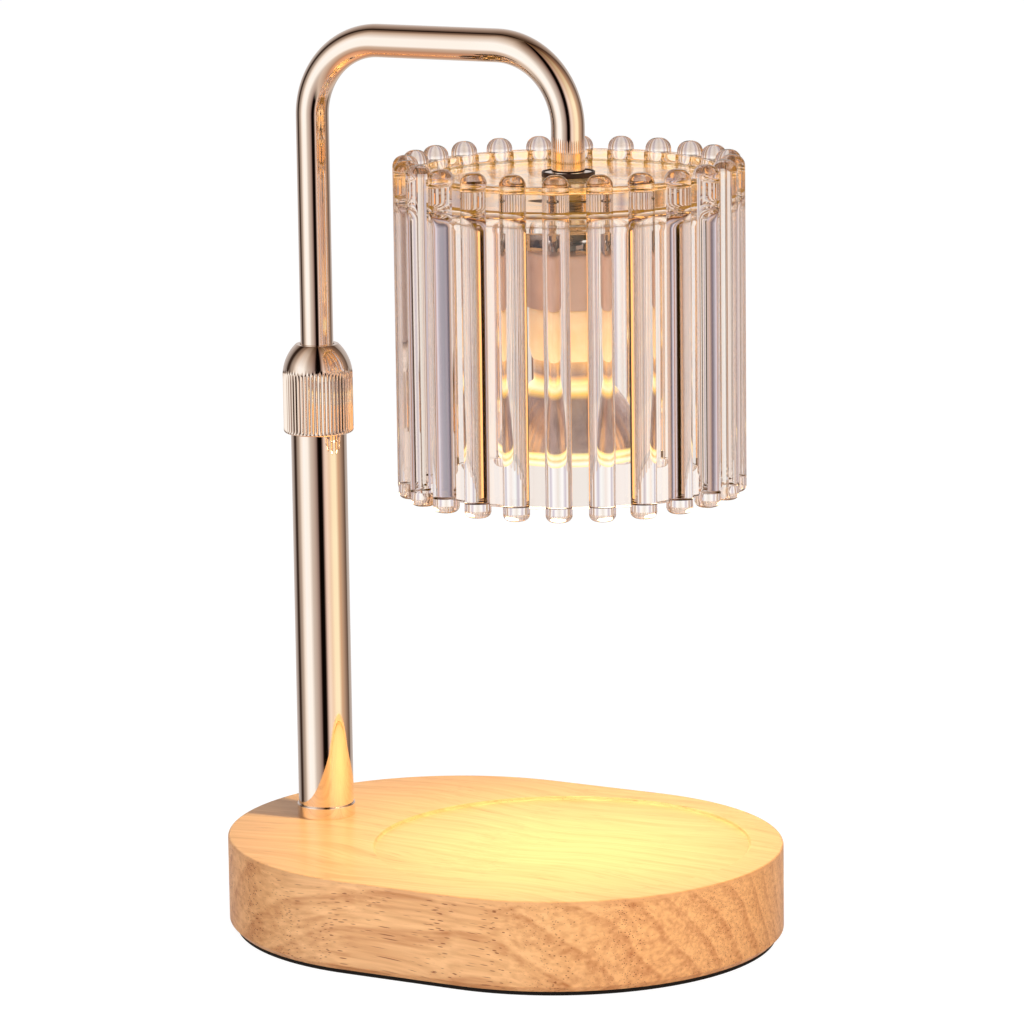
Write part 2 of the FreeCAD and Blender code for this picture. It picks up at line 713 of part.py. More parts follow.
def make_glass_shade():
    """Pressed glass bell with a thick top plate and round ribs that stand past both its ends."""
    fillet = "sizes.shade_plate_fillet"
    corners = [("sizes.shade_hole_radius", "at.plate_foot"), ("sizes.shade_hole_radius", "at.plate_top"),
               ("at.wall_bore", "at.plate_top"), ("at.wall_bore", "at.wall_top"),
               ("sizes.shade_wall_radius", "at.wall_top"), ("sizes.shade_wall_radius", "at.wall_foot"),
               ("at.wall_bore", "at.wall_foot"), ("at.wall_bore", f"at.plate_foot - {fillet}"),
               (f"at.wall_bore - {fillet}", "at.plate_foot")]
    bell = turned("glass_bell", corners, {7: (fillet, 1)}, "at.shade_x")
    pieces = [bell]
    for number in range(int(SIZES["rib_count"])):
        angle = f"(sizes.rib_first_angle + {number} * 360 / sizes.rib_count) * 1 deg"
        rod = cylinder(f"rib_rod_{number}", "sizes.rib_radius", "at.shade_foot", "at.shade_top",
                       f"at.shade_x + sizes.rib_circle_radius * cos({angle})",
                       f"sizes.rib_circle_radius * sin({angle})")
        rod.setExpression("Placement.Rotation.Angle", angle)
        rib = doc.addObject("Part::Fillet", f"rib_{number}")
        rib.Base = rod
        rib.Edges = [(1, SIZES["rib_top_round"], SIZES["rib_top_round"]),
                     (3, SIZES["rib_foot_round"], SIZES["rib_foot_round"])]
        pieces.append(rib)
    keep(join("ribbed_bell", pieces), "glass_shade")


def make_shade_clamp():
    """Hollow threaded nipple in the arm's end, and what clamps the glass on it."""
    x = "at.shade_x"
    way = "sizes.nipple_radius + sizes.press_gap"
    keep(tube("nipple", "sizes.nipple_radius", "sizes.nipple_bore_radius", "at.nipple_foot",
              "at.nipple_foot + sizes.nipple_length", x), "shade_nipple")
    keep(tube("flange", "sizes.flange_radius", way, "at.flange_foot", "at.flange_top", x), "shade_flange")
    keep(tube("top_gasket", "sizes.gasket_radius", way, "at.plate_top", "at.flange_foot", x),
         "shade_top_gasket")
    keep(tube("low_gasket", "sizes.low_gasket_radius", way, "at.washer_top", "at.plate_foot", x),
         "shade_low_gasket")
    keep(tube("shade_disc", "sizes.shade_washer_radius", way, "at.shade_nut_top", "at.washer_top", x),
         "shade_washer")
    keep(nut("shade_hexagon", way, "at.shade_nut_foot", "at.shade_nut_top", x), "shade_nut")
    lock_nuts = [nut("upper_lock_nut", way, "at.bracket_top", "at.bracket_top + sizes.lock_nut_height", x),
                 nut("lower_lock_nut", way, "at.bracket_roof - sizes.lock_nut_height", "at.bracket_roof", x)]
    keep(group("lock_nuts", lock_nuts), "bracket_nuts")


# --- lamp holder --------------------------------------------------------------------------

def screw_places():
    """Names and places of the holder's two screws."""
    return (("left", "at.shade_x - sizes.holder_screw_spacing / 2"),
            ("right", "at.shade_x + sizes.holder_screw_spacing / 2"))


def make_bracket():
    """Steel stirrup between the nipple and the holder, with its two screws."""
    top = "at.bracket_top"
    width = "sizes.bracket_width"
    strip = "sizes.bracket_thickness"
    foot = "at.holder_top"
    foot_top = f"{foot} + {strip}"
    parts = [block("stirrup_roof", "sizes.bracket_span", width, "at.bracket_roof", top, "at.shade_x")]
    holes = [cylinder("stirrup_way", "sizes.nipple_radius + sizes.press_gap", "at.bracket_roof", top,
                      "at.shade_x")]
    screws = []
    for (side, screw_x), out, back in zip(screw_places(), ("-", "+"), ("+", "-")):
        edge = f"at.shade_x {out} sizes.bracket_span / 2"
        parts.append(block(f"{side}_leg", strip, width, foot, top, f"{edge} {back} {strip} / 2"))
        parts.append(block(f"{side}_foot", "sizes.bracket_foot", width, foot, foot_top,
                           f"{edge} {back} sizes.bracket_foot / 2"))
        holes.append(cylinder(f"{side}_foot_hole", "sizes.holder_screw_radius + sizes.press_gap", foot,
                              foot_top, screw_x))
        shank = cylinder(f"{side}_shank", "sizes.holder_screw_radius",
                         f"{foot_top} - sizes.holder_screw_length", foot_top, screw_x)
        head = cylinder(f"{side}_head", "sizes.holder_screw_head_radius", foot_top,
                        f"{foot_top} + sizes.holder_screw_head_height", screw_x)
        screws.append(join(f"{side}_screw", [shank, head]))
    keep(cut("stirrup", join("stirrup_blank", parts), holes), "holder_bracket")
    keep(group("holder_screw_pair", screws), "holder_screws")


def arc_slot(name, half_width, foot, top, turn):
    """Curved slot round the holder's axis that a lamp pin turns in; turn is where its lock end lies."""
    circle_radius = "sizes.pin_spacing / 2"
    sector = doc.addObject("Part::Cylinder", name + "_sector")
    bind(sector, {"Radius": f"{circle_radius} + {half_width}", "Height": f"({top}) - ({foot})",
                  "Angle": "sizes.twist_angle * 1 deg"})
    start = turn - SIZES["twist_angle"]
    sector.Placement = FreeCAD.Placement(Vector(0, 0, 0), FreeCAD.Rotation(Vector(0, 0, 1), start))
    place(sector, "at.shade_x", "0", foot)
    core = cylinder(name + "_core", f"{circle_radius} - ({half_width})", foot, top, "at.shade_x")
    ends = []
    for label, angle in (("lock", f"{turn} * 1 deg"), ("entry", f"({turn} - sizes.twist_angle) * 1 deg")):
        ends.append(cylinder(f"{name}_{label}_end", half_width, foot, top,
                             f"at.shade_x + {circle_radius} * cos({angle})",
                             f"{circle_radius} * sin({angle})"))
    return join(name, [cut(name + "_bow", sector, [core])] + ends)


def make_holder():
    """Ceramic twist-lock holder in its metal cover, with two contact leaves."""
    x = "at.shade_x"
    foot = "at.holder_foot"
    inner_top = "at.holder_top - sizes.holder_cover_wall"
    well_foot = "at.holder_top - sizes.lead_well_depth - sizes.free_gap"
    cover_parts = [cylinder("cover_can", "sizes.holder_radius", foot, "at.holder_top", x)]
    cover_cuts = [cylinder("cover_hollow", "at.holder_bore", foot, inner_top, x),
                  cylinder("cover_lead_hole", "sizes.lead_radius + sizes.free_gap", foot, "at.holder_top", x)]
    body_cuts = [cylinder("holder_lead_well", "sizes.lead_radius + sizes.free_gap", well_foot, inner_top, x)]
    for side, screw_x in screw_places():
        cover_cuts.append(cylinder(f"cover_{side}_hole", "sizes.holder_screw_radius + sizes.press_gap", foot,
                                   "at.holder_top", screw_x))
        body_cuts.append(cylinder(f"holder_{side}_hole", "sizes.holder_screw_radius + sizes.press_gap",
                                  "at.holder_top - sizes.holder_screw_length", inner_top, screw_x))
    contacts = []
    for side, turn in (("front", 270), ("rear", 90)):
        pin_way = "sizes.pin_neck_radius + sizes.free_gap"
        head_way = "sizes.pin_head_radius + sizes.free_gap"
        body_cuts.append(arc_slot(f"{side}_neck_slot", pin_way, foot, "at.slot_ledge", turn))
        body_cuts.append(arc_slot(f"{side}_head_chamber", head_way, "at.slot_ledge", "at.chamber_top", turn))
        entry = f"({turn} - sizes.twist_angle) * 1 deg"
        body_cuts.append(cylinder(f"{side}_entry", head_way, foot, "at.chamber_top",
                                  f"at.shade_x + sizes.pin_spacing / 2 * cos({entry})",
                                  f"sizes.pin_spacing / 2 * sin({entry})"))
        contacts.append(cylinder(f"{side}_contact", "sizes.pin_head_radius",
                                 "at.chamber_top - sizes.contact_thickness", "at.chamber_top",
                                 f"at.shade_x + sizes.pin_spacing / 2 * cos({turn} * 1 deg)",
                                 f"sizes.pin_spacing / 2 * sin({turn} * 1 deg)"))
    keep(cut("cover", cover_parts[0], cover_cuts), "lamp_holder_cover")
    core = cylinder("holder_core", "at.holder_bore - sizes.press_gap", foot, inner_top, x)
    keep(cut("holder", core, body_cuts), "lamp_holder_body")
    keep(group("contact_pair", contacts), "holder_contacts")


# --- reflector lamp -----------------------------------------------------------------------

def make_bulb():
    """Reflector lamp: ceramic cap with two pins, glass reflector, front glass, capsule and filament."""
    x = "at.shade_x"
    chamfer = "sizes.bulb_cap_chamfer"
    wall = "sizes.reflector_wall"
    stem_way = "sizes.bulb_stem_radius + sizes.press_gap"
    cap = [(stem_way, "at.cap_foot"), (f"sizes.bulb_neck_radius + {chamfer} / 2", "at.cap_foot"),
           ("sizes.bulb_cap_radius", "at.cap_foot + 4 * sizes.bulb_cap_chamfer"),
           ("sizes.bulb_cap_radius", f"at.cap_top - {chamfer}"),
           (f"sizes.bulb_cap_radius - {chamfer}", "at.cap_top"), ("0", "at.cap_top"),
           ("0", "at.stem_top + sizes.press_gap"), (stem_way, "at.stem_top + sizes.press_gap")]
    keep(turned("cap_turning", cap, x=x), "bulb_cap")
    rim_bore = f"sizes.bulb_radius - {wall}"
    stem_bore = f"sizes.bulb_stem_radius - {wall}"
    reflector = [("sizes.bulb_radius", "at.bulb_foot"), ("sizes.bulb_radius", "at.bell_foot"),
                 ("sizes.bulb_neck_radius", "at.bell_top"), ("sizes.bulb_neck_radius", "at.cap_foot"),
                 ("sizes.bulb_stem_radius", "at.cap_foot"), ("sizes.bulb_stem_radius", "at.stem_top"),
                 ("0", "at.stem_top"), ("0", f"at.stem_top - {wall}"), (stem_bore, f"at.stem_top - {wall}"),
                 (stem_bore, "at.bell_top"), (f"sizes.bulb_neck_radius - {wall}", f"at.bell_top - {wall}"),
                 (f"{rim_bore} - {wall}", "at.bell_foot"), (rim_bore, f"at.bell_foot - {wall}"),
                 (rim_bore, "at.bulb_foot")]
    curves = {1: ("sizes.bulb_bell_curve", -1), 10: ("sizes.bulb_bell_curve", 1)}
    keep(turned("reflector_shell", reflector, curves, x), "bulb_reflector")
    keep(cylinder("front_disc", f"{rim_bore} - sizes.press_gap", "at.bulb_foot",
                  "at.bulb_foot + sizes.front_glass_thickness", x), "bulb_front_glass")
    pins = []
    for side, sign in (("front", "-"), ("rear", "")):
        y = f"{sign}sizes.pin_spacing / 2"
        neck = cylinder(f"{side}_pin_neck", "sizes.pin_neck_radius", "at.cap_top", "at.pin_top", x, y)
        head = cylinder(f"{side}_pin_head", "sizes.pin_head_radius", "at.pin_step", "at.pin_top", x, y)
        pins.append(join(f"{side}_pin", [neck, head]))
    keep(group("pin_pair", pins), "bulb_pins")
    tip = "at.capsule_foot + sizes.capsule_radius"
    capsule_top = f"at.stem_top - {wall}"
    inner_radius = "sizes.capsule_radius - sizes.capsule_wall"
    pinch = f"{capsule_top} - sizes.capsule_pinch"
    capsule = [("0", "at.capsule_foot"), ("sizes.capsule_radius", tip), ("sizes.capsule_radius", capsule_top),
               ("0", capsule_top), ("0", pinch), (inner_radius, pinch),
               (inner_radius, tip), ("0", "at.capsule_foot + sizes.capsule_wall")]
    domes = {0: ("sizes.capsule_radius", -1), 6: (inner_radius, 1)}
    keep(turned("capsule_blown", capsule, domes, x), "bulb_capsule")
    make_filament(pinch)


def make_filament(pinch):
    """Coiled filament, plain, held across the capsule by two legs from its pinch."""
    x = "at.shade_x"
    mid = "at.capsule_foot + sizes.capsule_radius + sizes.filament_height"
    coil = doc.addObject("Part::Cylinder", "filament_coil")
    bind(coil, {"Radius": "sizes.filament_radius", "Height": "sizes.filament_length"})
    coil.Placement = FreeCAD.Placement(Vector(0, 0, 0), FreeCAD.Rotation(Vector(0, 1, 0), 90))
    place(coil, "at.shade_x - sizes.filament_length / 2", "0", mid)
    legs = []
    for side, sign in (("left", "-"), ("right", "+")):
        leg_x = f"{x} {sign} (sizes.filament_length / 2 - sizes.filament_radius / 2)"
        legs.append(cylinder(f"filament_{side}_leg", "sizes.filament_radius / 2", mid, pinch, leg_x))
    keep(join("filament_frame", [coil] + legs), "bulb_filament")


make_wooden_base()
make_base_pad()
make_cord_grommet()
make_splice_block()
make_column()
make_guide_bush()
make_collet()
make_collar()
make_arm()
make_leads()
make_glass_shade()
make_shade_clamp()
make_bracket()
make_holder()
make_bulb()

# --- check and write ----------------------------------------------------------------------

doc.recompute()
for member in doc.Objects:
    if "Invalid" in member.State or "Error" in member.State:
        raise RuntimeError(f"{member.Label} failed to build: {member.State}")
for node in nodes:
    if node.Shape.isNull() or not node.Shape.isValid() or not node.Shape.Solids:
        raise RuntimeError(f"{node.Label} has no valid solid")

os.makedirs("parts", exist_ok=True)
for node in nodes:
    node.Shape.exportStep(f"parts/{node.Label}.step")
    print(f"{node.Label}: {len(node.Shape.Solids)} solid(s), {node.Shape.Volume / 1000:.3f} cm3")
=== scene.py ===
"""Looks of a candle warmer lamp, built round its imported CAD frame.

The lamp stands on a rubberwood base. A plated column carries a knurled collar, which locks a
gooseneck arm that slides and swivels in it. The arm ends in a clear ribbed glass shade over a
twist-lock reflector lamp, which is lit. Lengths in the classes are millimetres.
"""

import json
import logging
import math
from dataclasses import dataclass
from enum import Enum
from typing import Any

import bmesh
import bpy
from mathutils import Matrix, Vector

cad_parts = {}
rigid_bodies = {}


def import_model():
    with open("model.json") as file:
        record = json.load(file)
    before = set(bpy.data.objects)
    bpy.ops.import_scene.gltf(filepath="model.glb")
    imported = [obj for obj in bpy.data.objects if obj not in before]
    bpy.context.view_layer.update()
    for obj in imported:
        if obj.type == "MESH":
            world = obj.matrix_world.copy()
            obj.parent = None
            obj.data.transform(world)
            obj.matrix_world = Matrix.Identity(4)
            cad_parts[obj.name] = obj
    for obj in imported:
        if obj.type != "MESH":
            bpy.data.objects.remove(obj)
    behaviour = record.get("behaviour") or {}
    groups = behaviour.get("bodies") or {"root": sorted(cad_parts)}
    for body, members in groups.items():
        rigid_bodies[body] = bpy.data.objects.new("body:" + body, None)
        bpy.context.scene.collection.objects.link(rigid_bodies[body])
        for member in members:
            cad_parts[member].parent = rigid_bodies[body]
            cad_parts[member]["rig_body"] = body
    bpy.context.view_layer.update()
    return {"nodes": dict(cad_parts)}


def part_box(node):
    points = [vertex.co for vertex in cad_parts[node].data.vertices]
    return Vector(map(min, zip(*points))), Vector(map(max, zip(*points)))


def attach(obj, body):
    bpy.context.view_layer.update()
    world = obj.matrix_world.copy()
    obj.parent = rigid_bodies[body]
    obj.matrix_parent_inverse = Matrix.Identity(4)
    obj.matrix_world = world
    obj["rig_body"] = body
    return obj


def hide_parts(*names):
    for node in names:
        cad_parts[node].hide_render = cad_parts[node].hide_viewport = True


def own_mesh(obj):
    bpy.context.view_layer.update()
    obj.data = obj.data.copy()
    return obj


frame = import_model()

Node, Socket, Piece = bpy.types.Node, bpy.types.NodeSocket, bpy.types.Object
Colour = tuple[float, float, float, float]
Place = tuple[float, float, float]
Point = tuple[float, float]
Corner = Point | Place
Stops = tuple[tuple[float, str], ...]
SoftLight = tuple[Place, float, float, str]

MM = 0.001
WELD = 0.002
ON_AXIS = 1e-6
SHARP_ANGLE = math.radians(32)

log = logging.getLogger("candle_warmer_lamp")


# --- nodes ----------------------------------------------------------------------------------

def linear(code: str) -> Colour:
    """Turn an sRGB hex colour into linear light.

    Args:
        code: a # and six hex digits.

    Returns:
        Red, green, blue and an alpha of 1.
    """
    channels = [int(code[i:i + 2], 16) / 255 for i in (1, 3, 5)]
    return (*[c / 12.92 if c <= 0.04045 else ((c + 0.055) / 1.055) ** 2.4 for c in channels], 1.0)


class Wiring:
    """A node tree that is being wired."""

    tree: bpy.types.NodeTree

    def add(self, kind: str, *given: Any, stops: Stops = (), **settings: Any) -> Node:
        """Add one node.

        Args:
            kind: its class name, without ShaderNode, and after a space its operation; a name in
                capitals is a Math node's operation.
            given: what its inputs get, in order, or one dict of that by socket name or number.
            stops: place and hex colour of each stop, where it is a colour ramp.
            settings: its other properties.

        Returns:
            The new node.
        """
        kind, _, operation = f"Math {kind}".partition(" ") if kind.isupper() else kind.partition(" ")
        node = self.tree.nodes.new(kind if "Node" in kind else f"ShaderNode{kind}")
        if operation:
            node.operation = operation
        for name, setting in settings.items():
            setattr(node, name, setting)
        while stops and len(node.color_ramp.elements) < len(stops):
            node.color_ramp.elements.new(1.0)
        for element, (place, tone) in zip(node.color_ramp.elements if stops else (), stops):
            element.position, element.color = place, linear(tone)
        self.feed(node, given[0] if given and isinstance(given[0], dict) else dict(enumerate(given)))
        return node

    def feed(self, node: Node, given: dict[str | int, Any]) -> None:
        """Set or link a node's inputs.

        Args:
            node: the node.
            given: by socket name or number, a value, a hex colour, or one or more sources to link;
                a node given as a source stands for its first output in use.
        """
        for key, sources in given.items():
            for source in sources if isinstance(sources, list) else [sources]:
                if isinstance(source, Node):
                    source = next(output for output in source.outputs if output.enabled)
                if isinstance(source, Socket):
                    self.tree.links.new(source, node.inputs[key])
                else:
                    node.inputs[key].default_value = linear(source) if isinstance(source, str) else source

    def tones(self, value: Node | Socket, stops: Stops, unit: float = 1.0) -> Node:
        """Colour by a value, with the stops given in units of it.

        Args:
            value: what the colour goes by.
            stops: value and hex colour of each stop, in order.
            unit: what one of the stops' units comes to in the value.

        Returns:
            The node that gives the colour.
        """
        low, high = stops[0][0], stops[-1][0]
        share = self.add("MapRange", value, low * unit, high * unit, 0.0, 1.0)
        placed = tuple(((at - low) / (high - low), tone) for at, tone in stops)
        return self.add("ValToRGB", share, stops=placed)


# --- finishes -------------------------------------------------------------------------------

@dataclass
class Finish(Wiring):
    """A finish that the lamp has; every subclass says how its surface was made."""

    name: str

    def material(self) -> bpy.types.Material:
        """Make the finish's material, once.

        Returns:
            The material.
        """
        made = bpy.data.materials.get(self.name)
        if made is None:
            made = bpy.data.materials.new(self.name)
            made.use_nodes = True
            self.tree = made.node_tree
            self.shader = self.tree.nodes["Principled BSDF"]
            self.place = self.add("TexCoord").outputs["Object"]
            self.shade()
        return made

    def shade(self) -> None:
        """Wire the finish into its shader."""
        raise NotImplementedError

    def grain(self, size: float | Place, detail: float = 2.0, place: Node | None = None,
              kind: str = "TexNoise", **settings: Any) -> Node:
        """Noise or cells of a real size.

        Args:
            size: a grain's width, or its length along each axis, in millimetres.
            detail: how many finer layers it carries.
            place: what it lies along, Object coordinates if left out.
            kind: the texture node.
            settings: that node's other properties.

        Returns:
            The texture node.
        """
        spans = size if isinstance(size, tuple) else (size,) * 3
        scaled = self.add("Mapping", {"Vector": self.place if place is None else place,
                                      "Scale": tuple(1 / (span * MM) for span in spans)})
        return self.add(kind, {"Vector": scaled, "Scale": 1.0, "Detail": detail}, **settings)

    def coat(self, tone: Node, height: Node, depth: float, strength: float, **others: Any) -> None:
        """Give the shader its colour, its relief and what else it needs.

        Args:
            tone: what gives the base colour.
            height: what raises the surface.
            depth: how far it does so at most, in millimetres.
            strength: how much of that shows.
            others: what other sockets get; underscores stand for spaces.
        """
        bump = self.add("Bump", {"Height": height, "Distance": depth * MM, "Strength": strength})
        self.feed(self.shader, {"Base Color": tone, "Normal": bump}
                  | {name.replace("_", " "): source for name, source in others.items()})


@dataclass
class LacqueredRubberwood(Finish):
    """Rubberwood, planed, sanded and sprayed with clear satin lacquer.

    The grain runs along X and wanders slowly. Growth rings show as soft waves of tone, fibres as
    fine lines, and vessels as short brown dashes that end as dots on the round ends. The end grain
    drinks more lacquer, so it is warmer. The top face is painted paler and flatter in tone, with
    fainter pores, as painted lamp light.
    """

    early: str = "#f1be86"
    late: str = "#b87541"
    pore: str = "#84401a"
    end_grain: str = "#fdf0e0"
    ring_spacing: float = 9.0
    pith: Point = (-150.0, -58.0)
    wander_size: Place = (85.0, 60.0, 60.0)
    wander_reach: Point = (34.0, 22.0)
    fibre_size: Place = (48.0, 1.5, 1.5)
    cloud_size: Place = (90.0, 7.0, 4.5)
    vessel_size: Place = (20.0, 0.62, 0.62)
    vessel_radii: Point = (0.1, 0.36)
    cloud_share: float = 0.46
    fibre_share: float = 0.46
    end_slopes: Point = (0.2, 0.75)
    # Painted lamp light: top and ease set where the paler top face begins.
    top: float = 31.8
    ease: float = 0.1

    def shade(self) -> None:
        """Rings round a pith that lies beside and below the board, fibres and vessels."""
        add = self.add
        wander = self.grain(self.wander_size, 1.0).outputs["Color"]
        reach = (0.0, self.wander_reach[0] * MM, self.wander_reach[1] * MM)
        grown = add("VectorMath MULTIPLY_ADD", wander, reach, self.place)
        apart = add("SeparateXYZ", grown).outputs
        across = add("ADD", apart["Y"], -self.pith[0] * MM)
        above = add("ADD", apart["Z"], -self.pith[1] * MM)
        radius = add("VectorMath LENGTH", add("CombineXYZ", across, above))
        turn = add("FRACT", add("DIVIDE", radius, self.ring_spacing * MM))
        band = add("ValToRGB", turn, stops=((0.0, "#5c5c5c"), (0.5, "#808080"), (0.88, "#bcbcbc"),
                                            (1.0, "#5c5c5c")))
        band.color_ramp.interpolation = "EASE"
        fibres = self.grain(self.fibre_size, 4.0, grown)
        clouds = self.grain(self.cloud_size, 2.0, grown)
        soft = add("Mix", {0: self.cloud_share, 2: band, 3: clouds})
        lines = add("Mix", {0: self.fibre_share, 2: soft, 3: fibres})
        height = add("SeparateXYZ", self.place).outputs["Z"]
        # Painted lamp light: the top face takes less of the grain and fainter pores, so it reads paler.
        grain_share_under_painted_top_light = add("MapRange", height, (self.top - self.ease) * MM, self.top * MM, 1.0, 0.4)
        body = add("ValToRGB", add("Mix", {0: grain_share_under_painted_top_light, 2: 0.4, 3: lines}),
                   stops=((0.32, self.early), (0.64, self.late)))
        vessel = self.grain(self.vessel_size, 0.0, grown, "TexVoronoi")
        chance = add("SeparateXYZ", vessel.outputs["Color"]).outputs["X"]
        inside = add("SUBTRACT", add("MapRange", chance, 0.0, 1.0, *self.vessel_radii), vessel)
        pores = add("MapRange", inside, 0.0, 0.12, 0.0, 1.0)
        faint = add("MULTIPLY", add("MapRange", clouds, 0.38, 0.58, 0.45, 0.95), grain_share_under_painted_top_light)
        grained = add("Mix", {0: add("MULTIPLY", pores, faint), 6: body, 7: self.pore}, data_type="RGBA")
        facing = add("SeparateXYZ", add("TexCoord").outputs["Normal"]).outputs["X"]
        thirst = add("MapRange", add("ABSOLUTE", facing), *self.end_slopes, 0.0, 1.0)
        colour = add("Mix", {0: thirst, 6: grained, 7: self.end_grain}, data_type="RGBA",
                     blend_type="MULTIPLY")
        self.coat(colour, fibres, 0.05, 0.3, Roughness=add("MapRange", fibres, 0.0, 1.0, 0.36, 0.5),
                  IOR=1.5, Coat_Weight=0.2, Coat_Roughness=0.2)


class ClosedCellFoam(Finish):
    """Cut black EVA foam sheet: matt, with open cells about a third of a millimetre wide."""

    def shade(self) -> None:
        """Small cells; the low places are darker, as painted shade in the open cells."""
        cells = self.grain(0.35, 3.0)
        # Painted shade: the noise that sinks the surface also darkens it.
        self.coat(self.add("ValToRGB", cells, stops=((0.3, "#050505"), (0.7, "#0f0e0e"))), cells, 0.08, 0.6,
                  Roughness=0.85)


class PlatedRoseGold(Finish):
    """Champagne rose-gold plate over polished steel tube: a clear mirror with faint polishing haze."""

    def shade(self) -> None:
        """Tone drifts over 40 mm, haze over 6 mm, and wipe marks are a tenth of a millimetre wide."""
        drift = self.add("ValToRGB", self.grain(40.0), stops=((0.35, "#fbf2e9"), (0.65, "#f8ece1")))
        haze = self.add("MapRange", self.grain(6.0, 4.0), 0.3, 0.7, 0.02, 0.05)
        self.coat(drift, self.grain((0.12, 0.12, 9.0), 1.0), 0.001, 0.2, Metallic=1.0, Roughness=haze)


class ZincPlatedSteel(Finish):
    """Bright zinc plate on pressed or turned steel: pale grey, cloudy, with a soft shine."""

    def shade(self) -> None:
        """Zinc's clouds are about 3 mm wide."""
        clouds = self.grain(3.0, 5.0)
        self.coat(self.add("ValToRGB", clouds, stops=((0.3, "#a9a7a6"), (0.7, "#cbc8c4"))), clouds, 0.01, 0.3,
                  Metallic=1.0, Roughness=self.add("MapRange", clouds, 0.0, 1.0, 0.2, 0.38))


class TurnedBrass(Finish):
    """Free-cutting brass off the lathe: yellow, with tool rings 0.2 mm apart."""

    def shade(self) -> None:
        """Rings lie level because the pieces are turned upright."""
        tool = self.grain((30.0, 30.0, 0.2), 1.0)
        self.coat(self.add("ValToRGB", tool, stops=((0.3, "#c79f52"), (0.7, "#e3c377"))), tool, 0.01, 0.4,
                  Metallic=1.0, Roughness=0.28)


@dataclass
class MouldedPlastic(Finish):
    """Injection-moulded plastic with a fine spark-eroded grain."""

    dark: str = "#141312"
    pale: str = "#211f1e"
    roughness: float = 0.5

    def shade(self) -> None:
        """Grain of 0.25 mm, as coarse as it needs to show, and a slow drift of tone."""
        flow = self.add("ValToRGB", self.grain(12.0), stops=((0.3, self.dark), (0.7, self.pale)))
        self.coat(flow, self.grain(0.25), 0.02, 0.5, Roughness=self.roughness)


class BraidedSheath(Finish):
    """Glass-fibre sleeve over the heat-proof lead: white, woven with a 1 mm pitch."""

    def shade(self) -> None:
        """Crossed threads as small cells, paler at their middles and darker at their edges as painted shade.
        """
        weave_and_painted_shade = self.grain(1.0, 0.0, kind="TexVoronoi", distance="MANHATTAN")
        # Painted shade: the colour darkens towards each thread's edge, in the crevices between the threads.
        self.coat(self.add("ValToRGB", weave_and_painted_shade, stops=((0.0, "#efece4"), (0.8, "#b9b4a8"))), weave_and_painted_shade, -0.1, 0.8,
                  Roughness=0.7)


@dataclass
class PressedGlass(Finish):
    """Soda-lime glass pressed in an iron mould, with a champagne lustre fired on it.

    The mould leaves a slow wave of about 15 mm in the surface; the lustre is a film thinner than
    light's wave, so its tint turns from peach to lilac with the angle. Lamp light is painted into the
    glass: an orange-gold tint and a faint glow at its top rim, at its foot and in the fillet under its
    plate. Painted shade darkens the knobs above the rim.
    """

    tint: str = "#fdfcfc"
    # Painted shade: the smoky tone that the knobs above the rim are tinted with.
    painted_knob_shade: str = "#c4b3ad"
    # Painted lamp light: the orange-gold tint the glass takes where the glow is painted.
    painted_glow_tint: str = "#fff0d4"
    inside: str = "#dcc4ae"
    rim: float = 270.5
    fade: float = 0.8
    film: float = 330.0
    density: float = 10.0
    axis_x: float = 28.3
    wall_radius: float = 55.2
    wave: Place = (15.0, 15.0, 60.0)
    # Painted lamp light: the size of the glow's mottle, the glow's strength and the heights where it is
    # painted.
    painted_glow_fleck: float = 2.6
    glow: Point = (0.2, 0.003)
    painted_glow_heights: Stops = (
        (158.5, "#9e9e9e"), (160.5, "#6c6c6c"), (163.5, "#000000"), (251.5, "#000000"), (254.0, "#686868"),
        (256.5, "#000000"), (264.6, "#2b2b2b"), (266.2, "#f3f3f3"), (268.9, "#ffffff"), (269.6, "#7b7b7b"),
        (274.5, "#3b3b3b"))

    def shade(self) -> None:
        """Clear body, wavy skin, thin film, painted shade on the knobs and painted lamp light at rim, foot
        and fillet.
        """
        add, rim, wall = self.add, self.rim, self.wall_radius
        z = add("SeparateXYZ", self.place).outputs["Z"]
        # Painted lamp light: this mottled mask, weaker on the ribs outside the wall, sets where the glass is
        # tinted and glows.
        painted_glow_speckle = add("MapRange", self.grain(self.painted_glow_fleck), 0.38, 0.62, 0.25, 1.4)
        centred = add("VectorMath ADD", self.place, (-self.axis_x * MM, 0, 0))
        out = add("VectorMath LENGTH", add("VectorMath MULTIPLY", centred, (1, 1, 0)))
        painted_glow_inside_wall = add("MapRange", out, wall * MM, (wall + self.fade) * MM, 1.0, 0.18)
        painted_glow_mottle = add("MULTIPLY", painted_glow_inside_wall, painted_glow_speckle)
        painted_glow_share = add("MULTIPLY", self.tones(z, self.painted_glow_heights, MM), painted_glow_mottle, use_clamp=True)
        # Painted shade: above the wall's rim the glass is tinted smoky, to darken the knobs.
        knob_painted_shade_share = add("MapRange", z, rim * MM, (rim + self.fade) * MM, 0.0, 1.0)
        clear = add("Mix", {0: knob_painted_shade_share, 6: self.tint, 7: self.painted_knob_shade}, data_type="RGBA")
        body = add("Mix", {0: painted_glow_share, 6: clear, 7: self.painted_glow_tint}, data_type="RGBA")
        # The emission is painted lamp light; the glass itself is no lamp.
        self.coat(body, self.grain(self.wave, 0.0), 0.5, 0.1, Transmission_Weight=1.0, IOR=1.52,
                  Roughness=0.0, Emission_Color="#ffb950", Thin_Film_Thickness=self.film, Thin_Film_IOR=1.6,
                  Emission_Strength=add("MULTIPLY_ADD", painted_glow_share, *self.glow))
        self.feed(self.tree.nodes["Material Output"],
                  {"Volume": add("VolumeAbsorption", self.inside, self.density)})


